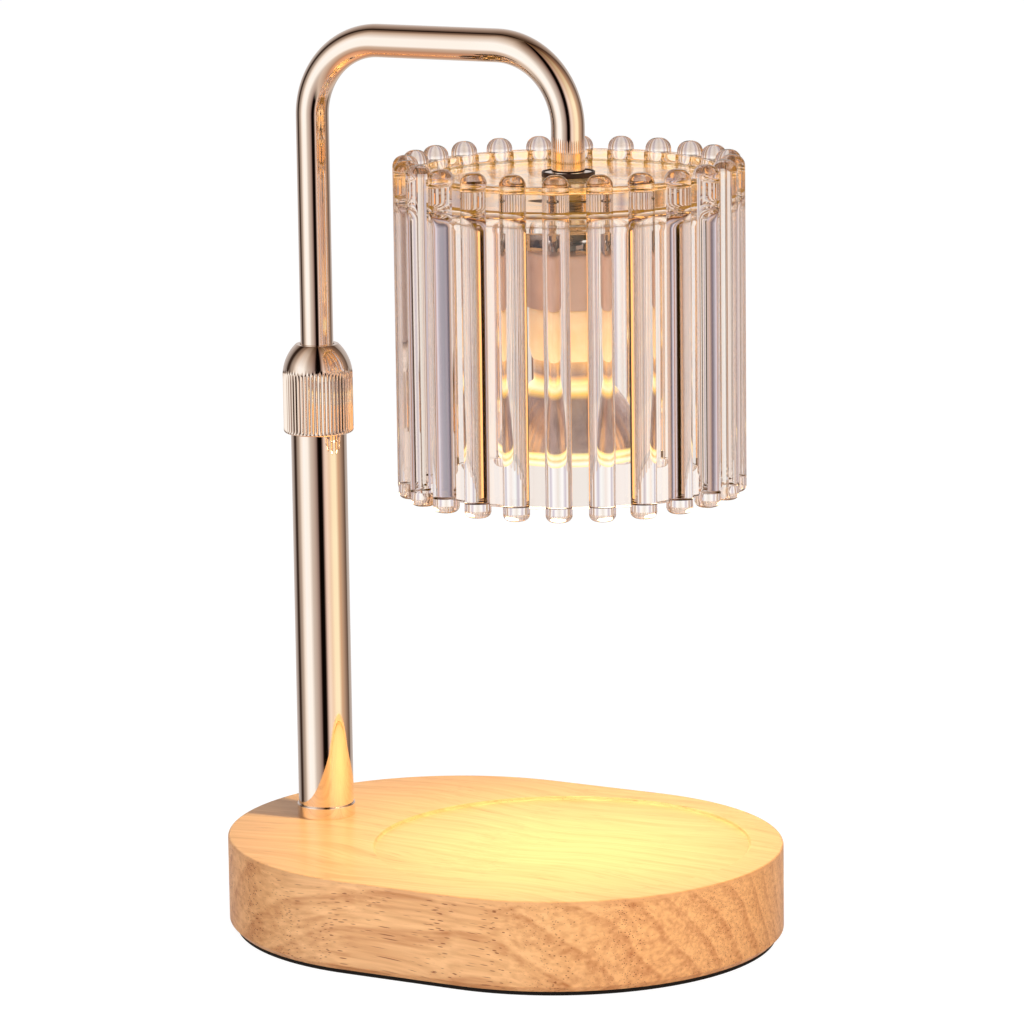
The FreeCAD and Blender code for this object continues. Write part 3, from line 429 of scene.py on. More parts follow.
@dataclass
class SiliconeRubber(Finish):
    """Silicone with a waxy sheen: milky and die-cut for the low gasket, dark umber for the lipped gasket."""

    low: str = "#dcd9d2"
    high: str = "#ece9e2"
    clarity: float = 0.35

    def shade(self) -> None:
        """A tone that varies over 4 mm."""
        cloud = self.grain(4.0)
        self.coat(self.add("ValToRGB", cloud, stops=((0.3, self.low), (0.7, self.high))), cloud, 0.02, 0.2,
                  Roughness=0.4, IOR=1.41, Transmission_Weight=self.clarity)


class SatinCopperLacquer(Finish):
    """Spun steel can under satin copper lacquer: tan, with spinning lines 0.3 mm apart."""

    def shade(self) -> None:
        """Level spinning lines and a slow drift of tone."""
        drift = self.add("ValToRGB", self.grain(9.0), stops=((0.3, "#f0d5c3"), (0.7, "#e0bfa9")))
        self.coat(drift, self.grain((40.0, 40.0, 0.3), 1.0), 0.01, 0.35, Metallic=0.4, Roughness=0.42)


@dataclass
class LitFinish(Finish):
    """A finish that may glow up its height: the lamp's own light where it shines through the
    reflector, and painted lamp light where the lamp shines on the ceramic cap.

    Attributes:
        pale: hex colour of its paler places.
        deep: hex colour of its deeper places.
        strength: brightness of a white stop of the glow.
        glow: height in millimetres and hex colour of each stop; with none, nothing glows.
    """

    pale: str = "#e9e2d4"
    deep: str = "#d8cfbe"
    strength: float = 1.0
    glow: Stops = ()

    def shine(self) -> None:
        """Wire the glow into the shader's emission."""
        if self.glow:
            height = self.add("SeparateXYZ", self.place).outputs["Z"]
            self.feed(self.shader, {"Emission Color": self.tones(height, self.glow, MM),
                                    "Emission Strength": self.strength})


class GlazedCeramic(LitFinish):
    """Slip-cast steatite under a thin clear glaze; on the lamp's cap its warmer tones and glow are painted
    lamp light.
    """

    def shade(self) -> None:
        """Glaze pools over 5 mm and has pinholes of 0.4 mm."""
        pools = self.add("ValToRGB", self.grain(5.0, 3.0), stops=((0.3, self.pale), (0.7, self.deep)))
        self.coat(pools, self.grain(0.4, 1.0), 0.02, 0.3, Roughness=0.3, Coat_Weight=0.4, Coat_Roughness=0.12)
        self.shine()


class SilveredGlass(LitFinish):
    """Pressed glass reflector with a heat-passing metal film, lit from inside."""

    def shade(self) -> None:
        """The film's tone varies over 7 mm."""
        film = self.grain(7.0, 3.0)
        self.coat(self.add("ValToRGB", film, stops=((0.3, self.pale), (0.7, self.deep))), film, 0.05, 0.2,
                  Metallic=0.85, Roughness=self.add("MapRange", film, 0.0, 1.0, 0.12, 0.26))
        self.shine()


@dataclass
class LampGlass(Finish):
    """Thin clear lamp glass, bright with the lamp's own light."""

    strength: float = 1.0

    def shade(self) -> None:
        """Clear, with a faint cloud of 3 mm where it is brightest."""
        cloud = self.add("ValToRGB", self.grain(3.0), stops=((0.2, "#ffd9a0"), (0.8, "#fff0d2")))
        self.feed(self.shader, {"Emission Color": cloud, "Base Color": "#fff8ee", "Transmission Weight": 0.9,
                                "Roughness": 0.05, "IOR": 1.5, "Emission Strength": self.strength})


class GlowingTungsten(Finish):
    """Coiled tungsten wire at about 2900 K."""

    def shade(self) -> None:
        """Turns of the coil, 0.3 mm apart, brighter on their crowns."""
        turns = self.add("ValToRGB", self.grain((0.3, 9.0, 9.0), 1.0),
                         stops=((0.3, "#ffb45a"), (0.7, "#fff1c8")))
        self.feed(self.shader, {"Emission Color": turns, "Base Color": "#59524b", "Metallic": 1.0,
                                "Roughness": 0.4, "Emission Strength": 9.0})


class Finishes(Enum):
    """The finishes on the lamp, by what they are on."""

    WOOD = LacqueredRubberwood("lacquered_rubberwood")
    FOAM = ClosedCellFoam("black_eva_foam")
    PLATE = PlatedRoseGold("polished_rose_gold_plate")
    ZINC = ZincPlatedSteel("bright_zinc_plate")
    BRASS = TurnedBrass("lathe_turned_brass")
    BLACK_PLASTIC = MouldedPlastic("moulded_black_nylon")
    NYLON = MouldedPlastic("moulded_natural_nylon", "#d5cdbb", "#e4ddcd", 0.42)
    SHEATH = BraidedSheath("braided_glass_fibre_sleeve")
    SHADE_GLASS = PressedGlass("pressed_lustre_glass")
    SILICONE = SiliconeRubber("die_cut_silicone")
    DARK_SILICONE = SiliconeRubber("moulded_umber_silicone", "#2b1c15", "#3d2920", 0.0)
    COPPER = SatinCopperLacquer("satin_copper_lacquer")
    HOLDER_CERAMIC = GlazedCeramic("glazed_steatite")
    # The lamp's cap: its warmer tones and its glow up its height are painted lamp light on ceramic, which is
    # no lamp.
    CAP_CERAMIC = GlazedCeramic("steatite_with_painted_lamplight", "#f3d9ae", "#ecc78f", 0.62, (
        (205.4, "#ffdb98"), (211.525, "#f3c48a"), (218.525, "#dfac7b"), (222.9, "#a58463")))
    REFLECTOR = SilveredGlass("silvered_reflector_glass", "#dcd8d8", "#aea3a2", 1.0, (
        (171.4, "#ffe07a"), (172.76, "#fffbe0"), (173.78, "#f5b84c"), (174.8, "#fff7bf"),
        (175.82, "#ffe070"), (176.5, "#2e1c10"), (184.32, "#2b1f19"), (193.16, "#5c4c44"),
        (194.86, "#ffc850"), (196.22, "#fff8c0"), (198.26, "#ffe27a"), (199.62, "#f2a53a"),
        (200.98, "#7a5430"), (205.4, "#d8973c")))
    FRONT_GLASS = LampGlass("lit_front_glass", 2.5)
    CAPSULE_GLASS = LampGlass("lit_capsule_quartz", 3.5)
    TUNGSTEN = GlowingTungsten("glowing_tungsten")

    @property
    def material(self) -> bpy.types.Material:
        """The finish's Blender material."""
        return self.value.material()


# --- shapes ---------------------------------------------------------------------------------

class Extent:
    """Where a CAD node lies at rest, in millimetres; its own axis is in the lamp's middle plane."""

    def __init__(self, node: str) -> None:
        """Measure a node.

        Args:
            node: its name.
        """
        low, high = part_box(node)
        self.low, self.high = low / MM, high / MM
        self.foot, self.top = self.low.z, self.high.z
        self.radius = (self.high.x - self.low.x) / 2
        self.axis = ((self.low.x + self.high.x) / 2, 0.0)


def rounded(corners: list[Corner], closed: bool = True, steps: int = 6, hold: float = 0.25) -> list[Point]:
    """Points of a profile with its corners rounded.

    Args:
        corners: distance out and height of each corner, and the radius that rounds it, if any.
        closed: whether the last corner joins the first.
        steps: sides that each rounding has.
        hold: distance of the point that keeps a flat side flat beside a rounding.

    Returns:
        Distance out and height of each point.
    """
    points: list[Point] = []
    for i, (out, z, *radius) in enumerate(corners):
        here = Vector((out, z))
        if not radius or (not closed and i in (0, len(corners) - 1)):
            points.append(tuple(here))
            continue
        back, on = ((Vector(corners[j % len(corners)][:2]) - here).normalized() for j in (i - 1, i + 1))
        half = back.angle(on) / 2
        reach = radius[0] / math.tan(half)
        centre = here + (back + on).normalized() * (radius[0] / math.sin(half))
        start, end = here + back * reach, here + on * reach
        sweep = (start - centre).angle_signed(end - centre)
        arc = [centre + Matrix.Rotation(-sweep * k / steps, 2) @ (start - centre) for k in range(steps + 1)]
        points += [tuple(point) for point in (start + back * hold, *arc, end + on * hold)]
    return points


def bowed(start: Point, end: Point, radius: float, steps: int = 14) -> list[Point]:
    """Points along an arc.

    Args:
        start: where the arc starts.
        end: where it ends.
        radius: its radius, negative to bow to the right of its way.
        steps: sides that it has.

    Returns:
        The points between start and end, without them.
    """
    a, b = Vector(start), Vector(end)
    chord = b - a
    left = Vector((-chord.y, chord.x)).normalized() * math.copysign(1.0, radius)
    centre = (a + b) / 2 - left * math.sqrt(radius ** 2 - chord.length_squared / 4)
    sweep = (a - centre).angle_signed(b - centre)
    return [tuple(centre + Matrix.Rotation(-sweep * k / steps, 2) @ (a - centre)) for k in range(1, steps)]


def hang(name: str, data: bpy.types.ID) -> Piece:
    """Put a new object in the scene.

    Args:
        name: the object's name.
        data: its mesh, curve, light or camera.

    Returns:
        The object.
    """
    piece = bpy.data.objects.new(name, data)
    bpy.context.scene.collection.objects.link(piece)
    return piece


def settle(piece: Piece, angle: float = SHARP_ANGLE) -> Piece:
    """Point a closed piece's faces outwards and shade it smooth.

    Args:
        piece: the piece.
        angle: how far two faces turn, in radians, before their edge is sharp.

    Returns:
        The piece.
    """
    shape = bmesh.new()
    shape.from_mesh(piece.data)
    bmesh.ops.remove_doubles(shape, verts=shape.verts, dist=WELD * MM)
    bmesh.ops.recalc_face_normals(shape, faces=shape.faces)
    shape.to_mesh(piece.data)
    shape.free()
    piece.data.shade_smooth()
    piece.data.set_sharp_from_angle(angle=angle)
    return piece


def new_piece(name: str, shape: bmesh.types.BMesh) -> Piece:
    """Make a piece of a closed shape.

    Args:
        name: the piece's name.
        shape: its faces, which are used up.

    Returns:
        The piece, faces outwards.
    """
    mesh = bpy.data.meshes.new(name)
    shape.to_mesh(mesh)
    shape.free()
    return settle(hang(name, mesh))


def lathe(name: str, points: list[Point], axis: Point = (0.0, 0.0), sides: int = 128) -> Piece:
    """Turn a closed profile round an upright axis.

    Args:
        name: the piece's name.
        points: distance out and height of the profile's points.
        axis: where the axis stands.
        sides: sides of each ring.

    Returns:
        The turned piece.
    """
    shape = bmesh.new()
    rings = []
    for out, z in points:
        turns = [2 * math.pi * k / sides for k in range(sides if out > ON_AXIS else 1)]
        rings.append([shape.verts.new(((axis[0] + out * math.cos(turn)) * MM,
                                       (axis[1] + out * math.sin(turn)) * MM, z * MM)) for turn in turns])
    for ring, after in zip(rings, rings[1:] + rings[:1]):
        if len(ring) == len(after) == 1:
            continue
        for k in range(sides):
            nxt = (k + 1) % sides
            around = [row[i % len(row)] for row, i in ((ring, k), (ring, nxt), (after, nxt), (after, k))]
            shape.faces.new(dict.fromkeys(around))
    return new_piece(name, shape)


def stadium(name: str, corners: list[Corner], length: float, width: float, steps: int = 6,
            sides: int = 72) -> Piece:
    """Slab with half-round ends whose edge follows a profile.

    Args:
        name: the piece's name.
        corners: inset from the outline, height and rounding, from the underside's edge to the top's.
        length: the outline's length.
        width: the outline's width.
        steps: sides that each rounding has.
        sides: sides of each round end.

    Returns:
        The slab.
    """
    shape = bmesh.new()
    rings = []
    for inset, z in rounded(corners, closed=False, steps=steps):
        ring = []
        for end in (1, -1):
            for k in range(sides + 1):
                turn = math.pi * (k / sides - 0.5) + (0 if end > 0 else math.pi)
                x = end * (length - width) / 2 + (width / 2 - inset) * math.cos(turn)
                ring.append(shape.verts.new((x * MM, (width / 2 - inset) * math.sin(turn) * MM, z * MM)))
        rings.append(ring)
    for ring, after in zip(rings, rings[1:]):
        for k, vert in enumerate(ring):
            nxt = (k + 1) % len(ring)
            shape.faces.new((vert, ring[nxt], after[nxt], after[k]))
    shape.faces.new(rings[0])
    shape.faces.new(rings[-1])
    return new_piece(name, shape)


def box(name: str, low: Place, high: Place) -> Piece:
    """Make a plain block to cut with.

    Args:
        name: the block's name.
        low: its lowest corner.
        high: its highest corner.

    Returns:
        The block.
    """
    shape = bmesh.new()
    bmesh.ops.create_cube(shape, size=1.0)
    for vert in shape.verts:
        vert.co = Vector([(a + b) / 2 + c * (b - a) for a, b, c in zip(low, high, vert.co)]) * MM
    return new_piece(name, shape)


def lay_along_x(piece: Piece, x: float, z: float) -> Piece:
    """Turn an upright piece made at the origin so that its axis runs along +X from a place."""
    piece.data.transform(Matrix.Translation(Vector((x, 0, z)) * MM) @ Matrix.Rotation(math.pi / 2, 4, "Y"))
    return piece


def plain(piece: Piece) -> Piece:
    """Replace a piece's live modifiers by the mesh that they give.

    Args:
        piece: a mesh object, or a curve object that a mesh object takes the place of.

    Returns:
        The mesh object.
    """
    evaluated = piece.evaluated_get(bpy.context.evaluated_depsgraph_get())
    mesh = bpy.data.meshes.new_from_object(evaluated)
    mesh.name = name = piece.name
    if piece.type == "MESH":
        piece.modifiers.clear()
        piece.data = mesh
        return piece
    bpy.data.objects.remove(piece)
    return hang(name, mesh)


def cut_out(piece: Piece, tools: list[Piece]) -> Piece:
    """Take tools out of a piece, and discard them.

    Args:
        piece: the piece.
        tools: what is cut out of it, in order.

    Returns:
        The piece.
    """
    for tool in tools:
        cutting = piece.modifiers.new(tool.name, "BOOLEAN")
        cutting.operation, cutting.solver, cutting.object = "DIFFERENCE", "EXACT", tool
    plain(piece)
    for tool in tools:
        bpy.data.objects.remove(tool)
    return settle(piece)


# --- geometry node trees --------------------------------------------------------------------

class Pattern(Wiring):
    """A geometry node tree with named inputs that ends in Realize Instances and Set Material."""

    def __init__(self, name: str, **sizes: tuple[str, ...]) -> None:
        """Start a tree.

        Args:
            name: the tree's name.
            sizes: by socket type, the names of the inputs beside the geometry and the finish.
        """
        self.tree = bpy.data.node_groups.new(name, "GeometryNodeTree")
        face = self.tree.interface
        for kind, names in {"Geometry": ("Geometry",), **sizes, "Material": ("Finish",)}.items():
            for size in names:
                face.new_socket(size, in_out="INPUT", socket_type=f"NodeSocket{kind}")
        face.new_socket("Geometry", in_out="OUTPUT", socket_type="NodeSocketGeometry")
        self.given = self.add("NodeGroupInput").outputs

    def spot(self) -> tuple[Node, Socket, Socket]:
        """X from the axis, Y and Z of every point."""
        place = self.add("SeparateXYZ", self.add("GeometryNodeInputPosition")).outputs
        return self.add("SUBTRACT", place["X"], self.given["Axis X"]), place["Y"], place["Z"]

    def spread(self, x: Node, y: Socket, share: Node) -> "Pattern":
        """End the tree with its points moved out from the axis.

        Args:
            x: each point's X from the axis.
            y: its Y.
            share: how far it moves out, as a share of its distance.

        Returns:
            The pattern.
        """
        move = self.add("CombineXYZ", self.add("MULTIPLY", x, share), self.add("MULTIPLY", y, share))
        given = self.given["Geometry"]
        return self.close(self.add("GeometryNodeSetPosition", {"Geometry": given, "Offset": move}))

    def close(self, geometry: Node) -> "Pattern":
        """End the tree.

        Args:
            geometry: the node that gives the finished geometry.

        Returns:
            The pattern.
        """
        real = self.add("GeometryNodeRealizeInstances", geometry)
        dressed = self.add("GeometryNodeSetMaterial", {"Geometry": real, "Material": self.given["Finish"]})
        self.add("NodeGroupOutput", dressed)
        return self

    def apply(self, piece: Piece, finish: Finishes, **sizes: Any) -> Piece:
        """Run the tree on a piece and keep the mesh that it gives.

        Args:
            piece: the piece that the tree starts from.
            finish: the finish that it puts on.
            sizes: a value for each input; underscores in a name stand for spaces.

        Returns:
            The piece as a plain mesh.
        """
        modifier = piece.modifiers.new(self.tree.name, "NODES")
        modifier.node_group = self.tree
        values = {name.replace("_", " "): size for name, size in sizes.items()} | {"Finish": finish.material}
        for item in self.tree.interface.items_tree:
            if item.in_out == "INPUT" and item.name in values:
                modifier[item.identifier] = values[item.name]
        return plain(piece)


def rolled_pattern() -> Pattern:
    """Grooves rolled into a turned piece: upright flutes, or a thread where they climb.

    Returns:
        A tree whose grooves have rounded floors and crisp crests, fading out at both ends.
    """
    made = Pattern("rolled_grooves", Float=("Axis X", "Count", "Turns per Metre", "Depth", "Inner", "Foot",
                                            "Top", "Ease"))
    add, given = made.add, made.given
    x, y, z = made.spot()
    out = add("SQRT", add("ADD", add("MULTIPLY", x, x), add("MULTIPLY", y, y)))
    around = add("MULTIPLY", add("ARCTAN2", y, x), given["Count"])
    climb = add("MULTIPLY", add("MULTIPLY", z, given["Turns per Metre"]), 2 * math.pi)
    groove = add("ABSOLUTE", add("COSINE", add("MULTIPLY", add("ADD", around, climb), 0.5)))
    rise = add("DIVIDE", add("SUBTRACT", z, given["Foot"]), given["Ease"])
    fall = add("DIVIDE", add("SUBTRACT", given["Top"], z), given["Ease"])
    eased = add("SQRT", add("MINIMUM", add("MAXIMUM", add("MINIMUM", rise, fall), 0.0), 1.0))
    outside = add("GREATER_THAN", out, given["Inner"])
    depth = add("MULTIPLY", add("MULTIPLY", groove, eased), add("MULTIPLY", outside, given["Depth"]))
    return made.spread(x, y, add("DIVIDE", add("MULTIPLY", depth, -1.0), out))


def tube_pattern() -> Pattern:
    """Round bar along a route of straight runs.

    Returns:
        A tree that bends the route's corners to a radius and sweeps the bar along it.
    """
    made = Pattern("tube_on_route", Float=("Bend", "Radius"), Int=("Bend Steps", "Sides"))
    add, given = made.add, made.given
    bent = add("GeometryNodeFilletCurve", {"Curve": given["Geometry"], "Count": given["Bend Steps"],
                                           "Radius": given["Bend"], "Limit Radius": True}, mode="POLY")
    ring = add("GeometryNodeCurvePrimitiveCircle", {"Resolution": given["Sides"], "Radius": given["Radius"]})
    bar = add("GeometryNodeCurveToMesh", {"Curve": bent, "Profile Curve": ring, "Fill Caps": True})
    return made.close(bar)


def rib_pattern() -> Pattern:
    """Ribs set round an upright axis and fused to a bell.

    Returns:
        A tree that starts from the bell and is given one rib.
    """
    made = Pattern("ribs_round_bell", Object=("Rib",), Int=("Count",),
                   Float=("First Angle", "Circle", "Axis X"))
    add, given = made.add, made.given
    turned = add("MULTIPLY", add("GeometryNodeInputIndex"), add("DIVIDE", 2 * math.pi, given["Count"]))
    angle = add("ADD", turned, given["First Angle"])
    x = add("ADD", add("MULTIPLY", add("COSINE", angle), given["Circle"]), given["Axis X"])
    y = add("MULTIPLY", add("SINE", angle), given["Circle"])
    spots = add("GeometryNodePoints", {"Count": given["Count"], "Position": add("CombineXYZ", x, y)})
    rib = add("GeometryNodeObjectInfo", {"Object": given["Rib"]}, transform_space="ORIGINAL")
    ribs = add("GeometryNodeInstanceOnPoints", {"Points": spots, "Instance": rib.outputs["Geometry"],
                                                "Rotation": add("CombineXYZ", {"Z": angle})})
    real = add("GeometryNodeRealizeInstances", ribs)
    return made.close(add("GeometryNodeMeshBoolean", {1: [given["Geometry"], real]}, operation="UNION",
                          solver="MANIFOLD"))


def facet_pattern() -> Pattern:
    """Flat facets pressed round the inside of a turned bell.

    Returns:
        A tree that draws the inside in to each facet's chord, above the rim.
    """
    made = Pattern("reflector_facets", Float=("Axis X", "Count", "Rim"))
    add, given = made.add, made.given
    x, y, z = made.spot()
    normal = add("SeparateXYZ", add("GeometryNodeInputNormal")).outputs
    facing = add("ADD", add("MULTIPLY", x, normal["X"]), add("MULTIPLY", y, normal["Y"]))
    step = add("DIVIDE", 2 * math.pi, given["Count"])
    half = add("MULTIPLY", step, 0.5)
    turn = add("FLOORED_MODULO", add("ARCTAN2", y, x), step)
    chord = add("DIVIDE", add("COSINE", half), add("COSINE", add("SUBTRACT", turn, half)))
    inside = add("MULTIPLY", add("LESS_THAN", facing, 0.0), add("GREATER_THAN", z, given["Rim"]))
    return made.spread(x, y, add("MULTIPLY", add("SUBTRACT", chord, 1.0), inside))


# --- sub-assemblies -------------------------------------------------------------------------

def stand_for(piece: Piece, node: str, finish: Finishes) -> Piece:
    """Let a piece ride in a CAD node's place, dressed in the given finish.

    Args:
        piece: the finished piece.
        node: the CAD node that it stands for.
        finish: what it is dressed in.

    Returns:
        The piece.
    """
    piece.data.materials.clear()
    piece.data.materials.append(finish.material)
    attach(piece, frame["nodes"][node]["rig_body"])
    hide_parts(node)
    log.info("%s: %d faces, stands for %s", piece.name, len(piece.data.polygons), node)
    return piece


def turned(name: str, node: str, finish: Finishes, corners: list[Corner], sides: int = 96,
           steps: int = 6, hold: float = 0.25) -> Piece:
    """Turn a profile on a CAD node's axis and let it stand for that node.

    Args:
        name: the piece's name.
        node: the CAD node.
        finish: what the piece is dressed in.
        corners: distance out, height and rounding of the profile's corners.
        sides: sides of each ring.
        steps: sides that each rounding has.
        hold: distance of the point that keeps a flat side flat beside a rounding.

    Returns:
        The piece.
    """
    points = rounded(corners, steps=steps, hold=hold)
    return stand_for(lathe(name, points, Extent(node).axis, sides), node, finish)


def dress(finish: Finishes, *nodes: str) -> None:
    """Give CAD nodes whose shape is right a finish.

    Args:
        finish: what they are dressed in.
        nodes: their names.
    """
    for node in nodes:
        for holder in frame["nodes"][node].material_slots:
            holder.material = finish.material
        log.info("%s: dressed in %s", node, finish.value.name)


@dataclass
class Base:
    """Rubberwood slab with its foam pad, its wiring cavity and the bush in its cord inlet."""

    foot_chamfer: float = 2.0
    top_rounding: float = 0.8
    recess_rim: float = 11.5
    recess_radius: float = 65.6
    recess_depth: float = 1.2
    recess_floor_rounding: float = 0.7
    recess_edge: float = 0.25
    cavity_depth: float = 16.0
    well_radius: float = 17.0
    bay_reach: float = 51.0
    bay_width: float = 24.0
    stud_hole: float = 5.3
    inlet_length: float = 15.0
    pad_straight: float = 44.0
    bush_bore: float = 3.3
    bush_sleeve: float = 5.0
    bush_flange: float = 1.5
    flange_rounding: float = 0.6
    seat_gap: float = 0.05
    arris: float = 0.3
    past: float = 2.0

    def build(self) -> None:
        """Make the slab, the pad and the bush."""
        self.make_slab()
        self.make_pad()
        self.make_bush()
        dress(Finishes.NYLON, "splice_block")
        dress(Finishes.ZINC, "splice_screws")

    def make_slab(self) -> None:
        """Slab with its edges eased, the candle recess on top and the wiring cavity below."""
        wood, chamfer, easing = Extent("wooden_base"), self.foot_chamfer, self.top_rounding
        edge = [(chamfer + 1, wood.foot), (chamfer, wood.foot, self.arris), (0, wood.foot + chamfer, 0.5),
                (0, wood.top, easing), (easing * 3, wood.top)]
        slab = stadium("wooden_slab", edge, wood.radius * 2, wood.high.y - wood.low.y)
        cut_out(slab, [self.recess_tool(wood), *self.cavity_tools(wood)])
        stand_for(slab, "wooden_base", Finishes.WOOD)

    def recess_tool(self, wood: Extent) -> Piece:
        """Disc that cuts the candle recess.

        Args:
            wood: where the slab lies.

        Returns:
            The disc, with its floor's corner rounded and its rim eased.
        """
        floor, above = wood.top - self.recess_depth, wood.top + 3 * self.recess_edge
        radius, edge = self.recess_radius, self.recess_edge
        points = rounded([(0, floor), (radius, floor, self.recess_floor_rounding), (radius, wood.top - edge),
                          (radius + 4 * edge, above), (0, above)])
        return lathe("recess_tool", points, (wood.high.x - self.recess_rim - radius, 0), 192)

    def cavity_tools(self, wood: Extent) -> list[Piece]:
        """Tools that cut what the base holds.

        Args:
            wood: where the slab lies.

        Returns:
            The nut well, the splice bay, the stud's hole and the cord's way in.
        """
        column, bush = Extent("column_tube").axis, Extent("cord_grommet")
        below, above, half = wood.foot - self.past, wood.top + self.past, self.bay_width / 2
        top, well, stud = wood.foot + self.cavity_depth, self.well_radius, self.stud_hole
        flange, sleeve = (bush.top - bush.foot) / 2 + self.seat_gap, self.bush_sleeve + self.seat_gap
        step, end = self.bush_flange, self.inlet_length
        way = [(0, -3), (flange, -3), (flange, step), (sleeve, step), (sleeve, end), (0, end)]
        return [
            lathe("well_tool", [(0, below), (well, below), (well, top), (0, top)], column),
            box("bay_tool", (column[0], -half, below - 1), (column[0] + self.bay_reach, half, top - 0.01)),
            lathe("stud_tool", [(0, top - 3), (stud, top - 3), (stud, above), (0, above)], column),
            lay_along_x(lathe("inlet_tool", way), wood.low.x, (bush.top + bush.foot) / 2)]

    def make_pad(self) -> None:
        """Foam sheet under the wood."""
        pad = Extent("base_pad")
        edge = [(2, pad.foot), (0, pad.foot, self.arris), (0, pad.top, self.arris), (2, pad.top)]
        sheet = stadium("foam_pad", edge, pad.radius * 2, pad.radius * 2 - self.pad_straight, steps=3)
        stand_for(sheet, "base_pad", Finishes.FOAM)

    def make_bush(self) -> None:
        """Flanged bush that the cord is led through."""
        bush, bore, sleeve = Extent("cord_grommet"), self.bush_bore, self.bush_sleeve
        length, flange = bush.high.x - bush.low.x, (bush.top - bush.foot) / 2
        points = rounded([(bore, 0, 0.6), (flange, 0, self.flange_rounding), (flange, self.bush_flange),
                          (sleeve, self.bush_flange), (sleeve, length, self.arris),
                          (bore, length, self.arris)], steps=4, hold=0.1)
        laid = lay_along_x(lathe("cord_bush", points, sides=72), bush.low.x, (bush.top + bush.foot) / 2)
        stand_for(laid, "cord_grommet", Finishes.BLACK_PLASTIC)


@dataclass
class Column:
    """Plated column with its foot ring, and the hidden stud that bolts it down."""

    sides: int = 160
    wall: float = 1.0
    mouth_rounding: float = 0.25
    ring_rounding: float = 0.5
    ring_seam: float = 0.35
    ring_gap: float = 0.05
    parting: float = 0.05
    slack_left: float = 0.06

    def build(self) -> None:
        """Make the tube, the ring and the slack lead, and dress what is inside."""
        tube, ring = Extent("column_tube"), Extent("column_foot_ring")
        mouth, seam = self.mouth_rounding, self.ring_seam
        inner = tube.radius - self.wall
        turned("column_pipe", "column_tube", Finishes.PLATE,
               [(inner, tube.foot), (tube.radius, tube.foot), (tube.radius, tube.top, mouth),
                (inner, tube.top, mouth)], self.sides, steps=4)
        inner = tube.radius + self.ring_gap
        points = rounded([(inner, ring.foot), (ring.radius, ring.foot, 0.2),
                          (ring.radius, ring.top, self.ring_rounding), (inner + seam, ring.top),
                          (inner, ring.top - seam)], steps=5, hold=0.1)
        stand_for(lathe("foot_ring", points, tube.axis, self.sides), "column_foot_ring", Finishes.PLATE)
        dress(Finishes.ZINC, "column_foot_plug", "column_stud", "column_washer", "column_nut")
        dress(Finishes.BRASS, "column_guide_bush")
        dress(Finishes.SHEATH, "base_lead")
        self.make_slack()

    def make_slack(self) -> None:
        """Loose run of the lead, made at its rest length; in the lamp it draws together as the arm comes
        down.
        """
        lead = Extent("slack_lead")
        foot, top = lead.foot + self.parting, lead.top - self.parting
        run = turned("slack_run", "slack_lead", Finishes.SHEATH,
                     [(0, foot), (lead.radius, foot), (lead.radius, top), (0, top)], sides=48)
        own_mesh(run)


@dataclass
class Lock:
    """Knurled collar with the split collet that it closes on the arm."""

    shoulder_height: float = 10.2
    shoulder_curve: float = 16.0
    top_radius: float = 7.5
    lip_radius: float = 6.0
    skirt_bore: float = 9.9
    thread_bore: float = 8.55
    skirt_depth: float = 6.0
    nose_bore: float = 6.6
    foot_rounding: float = 0.9
    flute_count: int = 60
    flute_sides: int = 10
    flute_depth: float = 0.42
    flute_ease: float = 0.9
    core: float = 1.0
    course: float = 0.5
    courses: int = 36
    crease: float = 50.0

    def build(self) -> None:
        """Turn the collar, roll its flutes and dress the collet."""
        collar, collet = Extent("locking_collar"), Extent("clamp_collet")
        radius, foot, shoulder = collar.radius, collar.foot, collar.top - self.shoulder_height
        corners = [(self.skirt_bore, foot), (radius, foot, self.foot_rounding),
                   *[(radius, foot + 1.6 + k * self.course) for k in range(self.courses)], (radius, shoulder),
                   *bowed((radius, shoulder), (self.top_radius, collar.top), -self.shoulder_curve),
                   (self.top_radius, collar.top, 0.35), (self.lip_radius, collar.top, 0.2),
                   (self.lip_radius, collet.top + 0.2), (self.nose_bore, collet.top + 0.2),
                   (self.thread_bore, collet.foot), (self.thread_bore, foot + self.skirt_depth),
                   (self.skirt_bore, foot + self.skirt_depth)]
        blank = lathe("knurled_collar", rounded(corners, steps=5, hold=0.15), collar.axis,
                      self.flute_count * self.flute_sides)
        fluted = rolled_pattern().apply(
            blank, Finishes.PLATE, Axis_X=collar.axis[0] * MM, Count=float(self.flute_count),
            Turns_per_Metre=0.0, Depth=self.flute_depth * MM, Inner=(radius - self.core) * MM,
            Foot=(foot + 0.5) * MM, Top=(shoulder + 0.9) * MM, Ease=self.flute_ease * MM)
        stand_for(settle(fluted, math.radians(self.crease)), "locking_collar", Finishes.PLATE)
        dress(Finishes.NYLON, "clamp_collet")


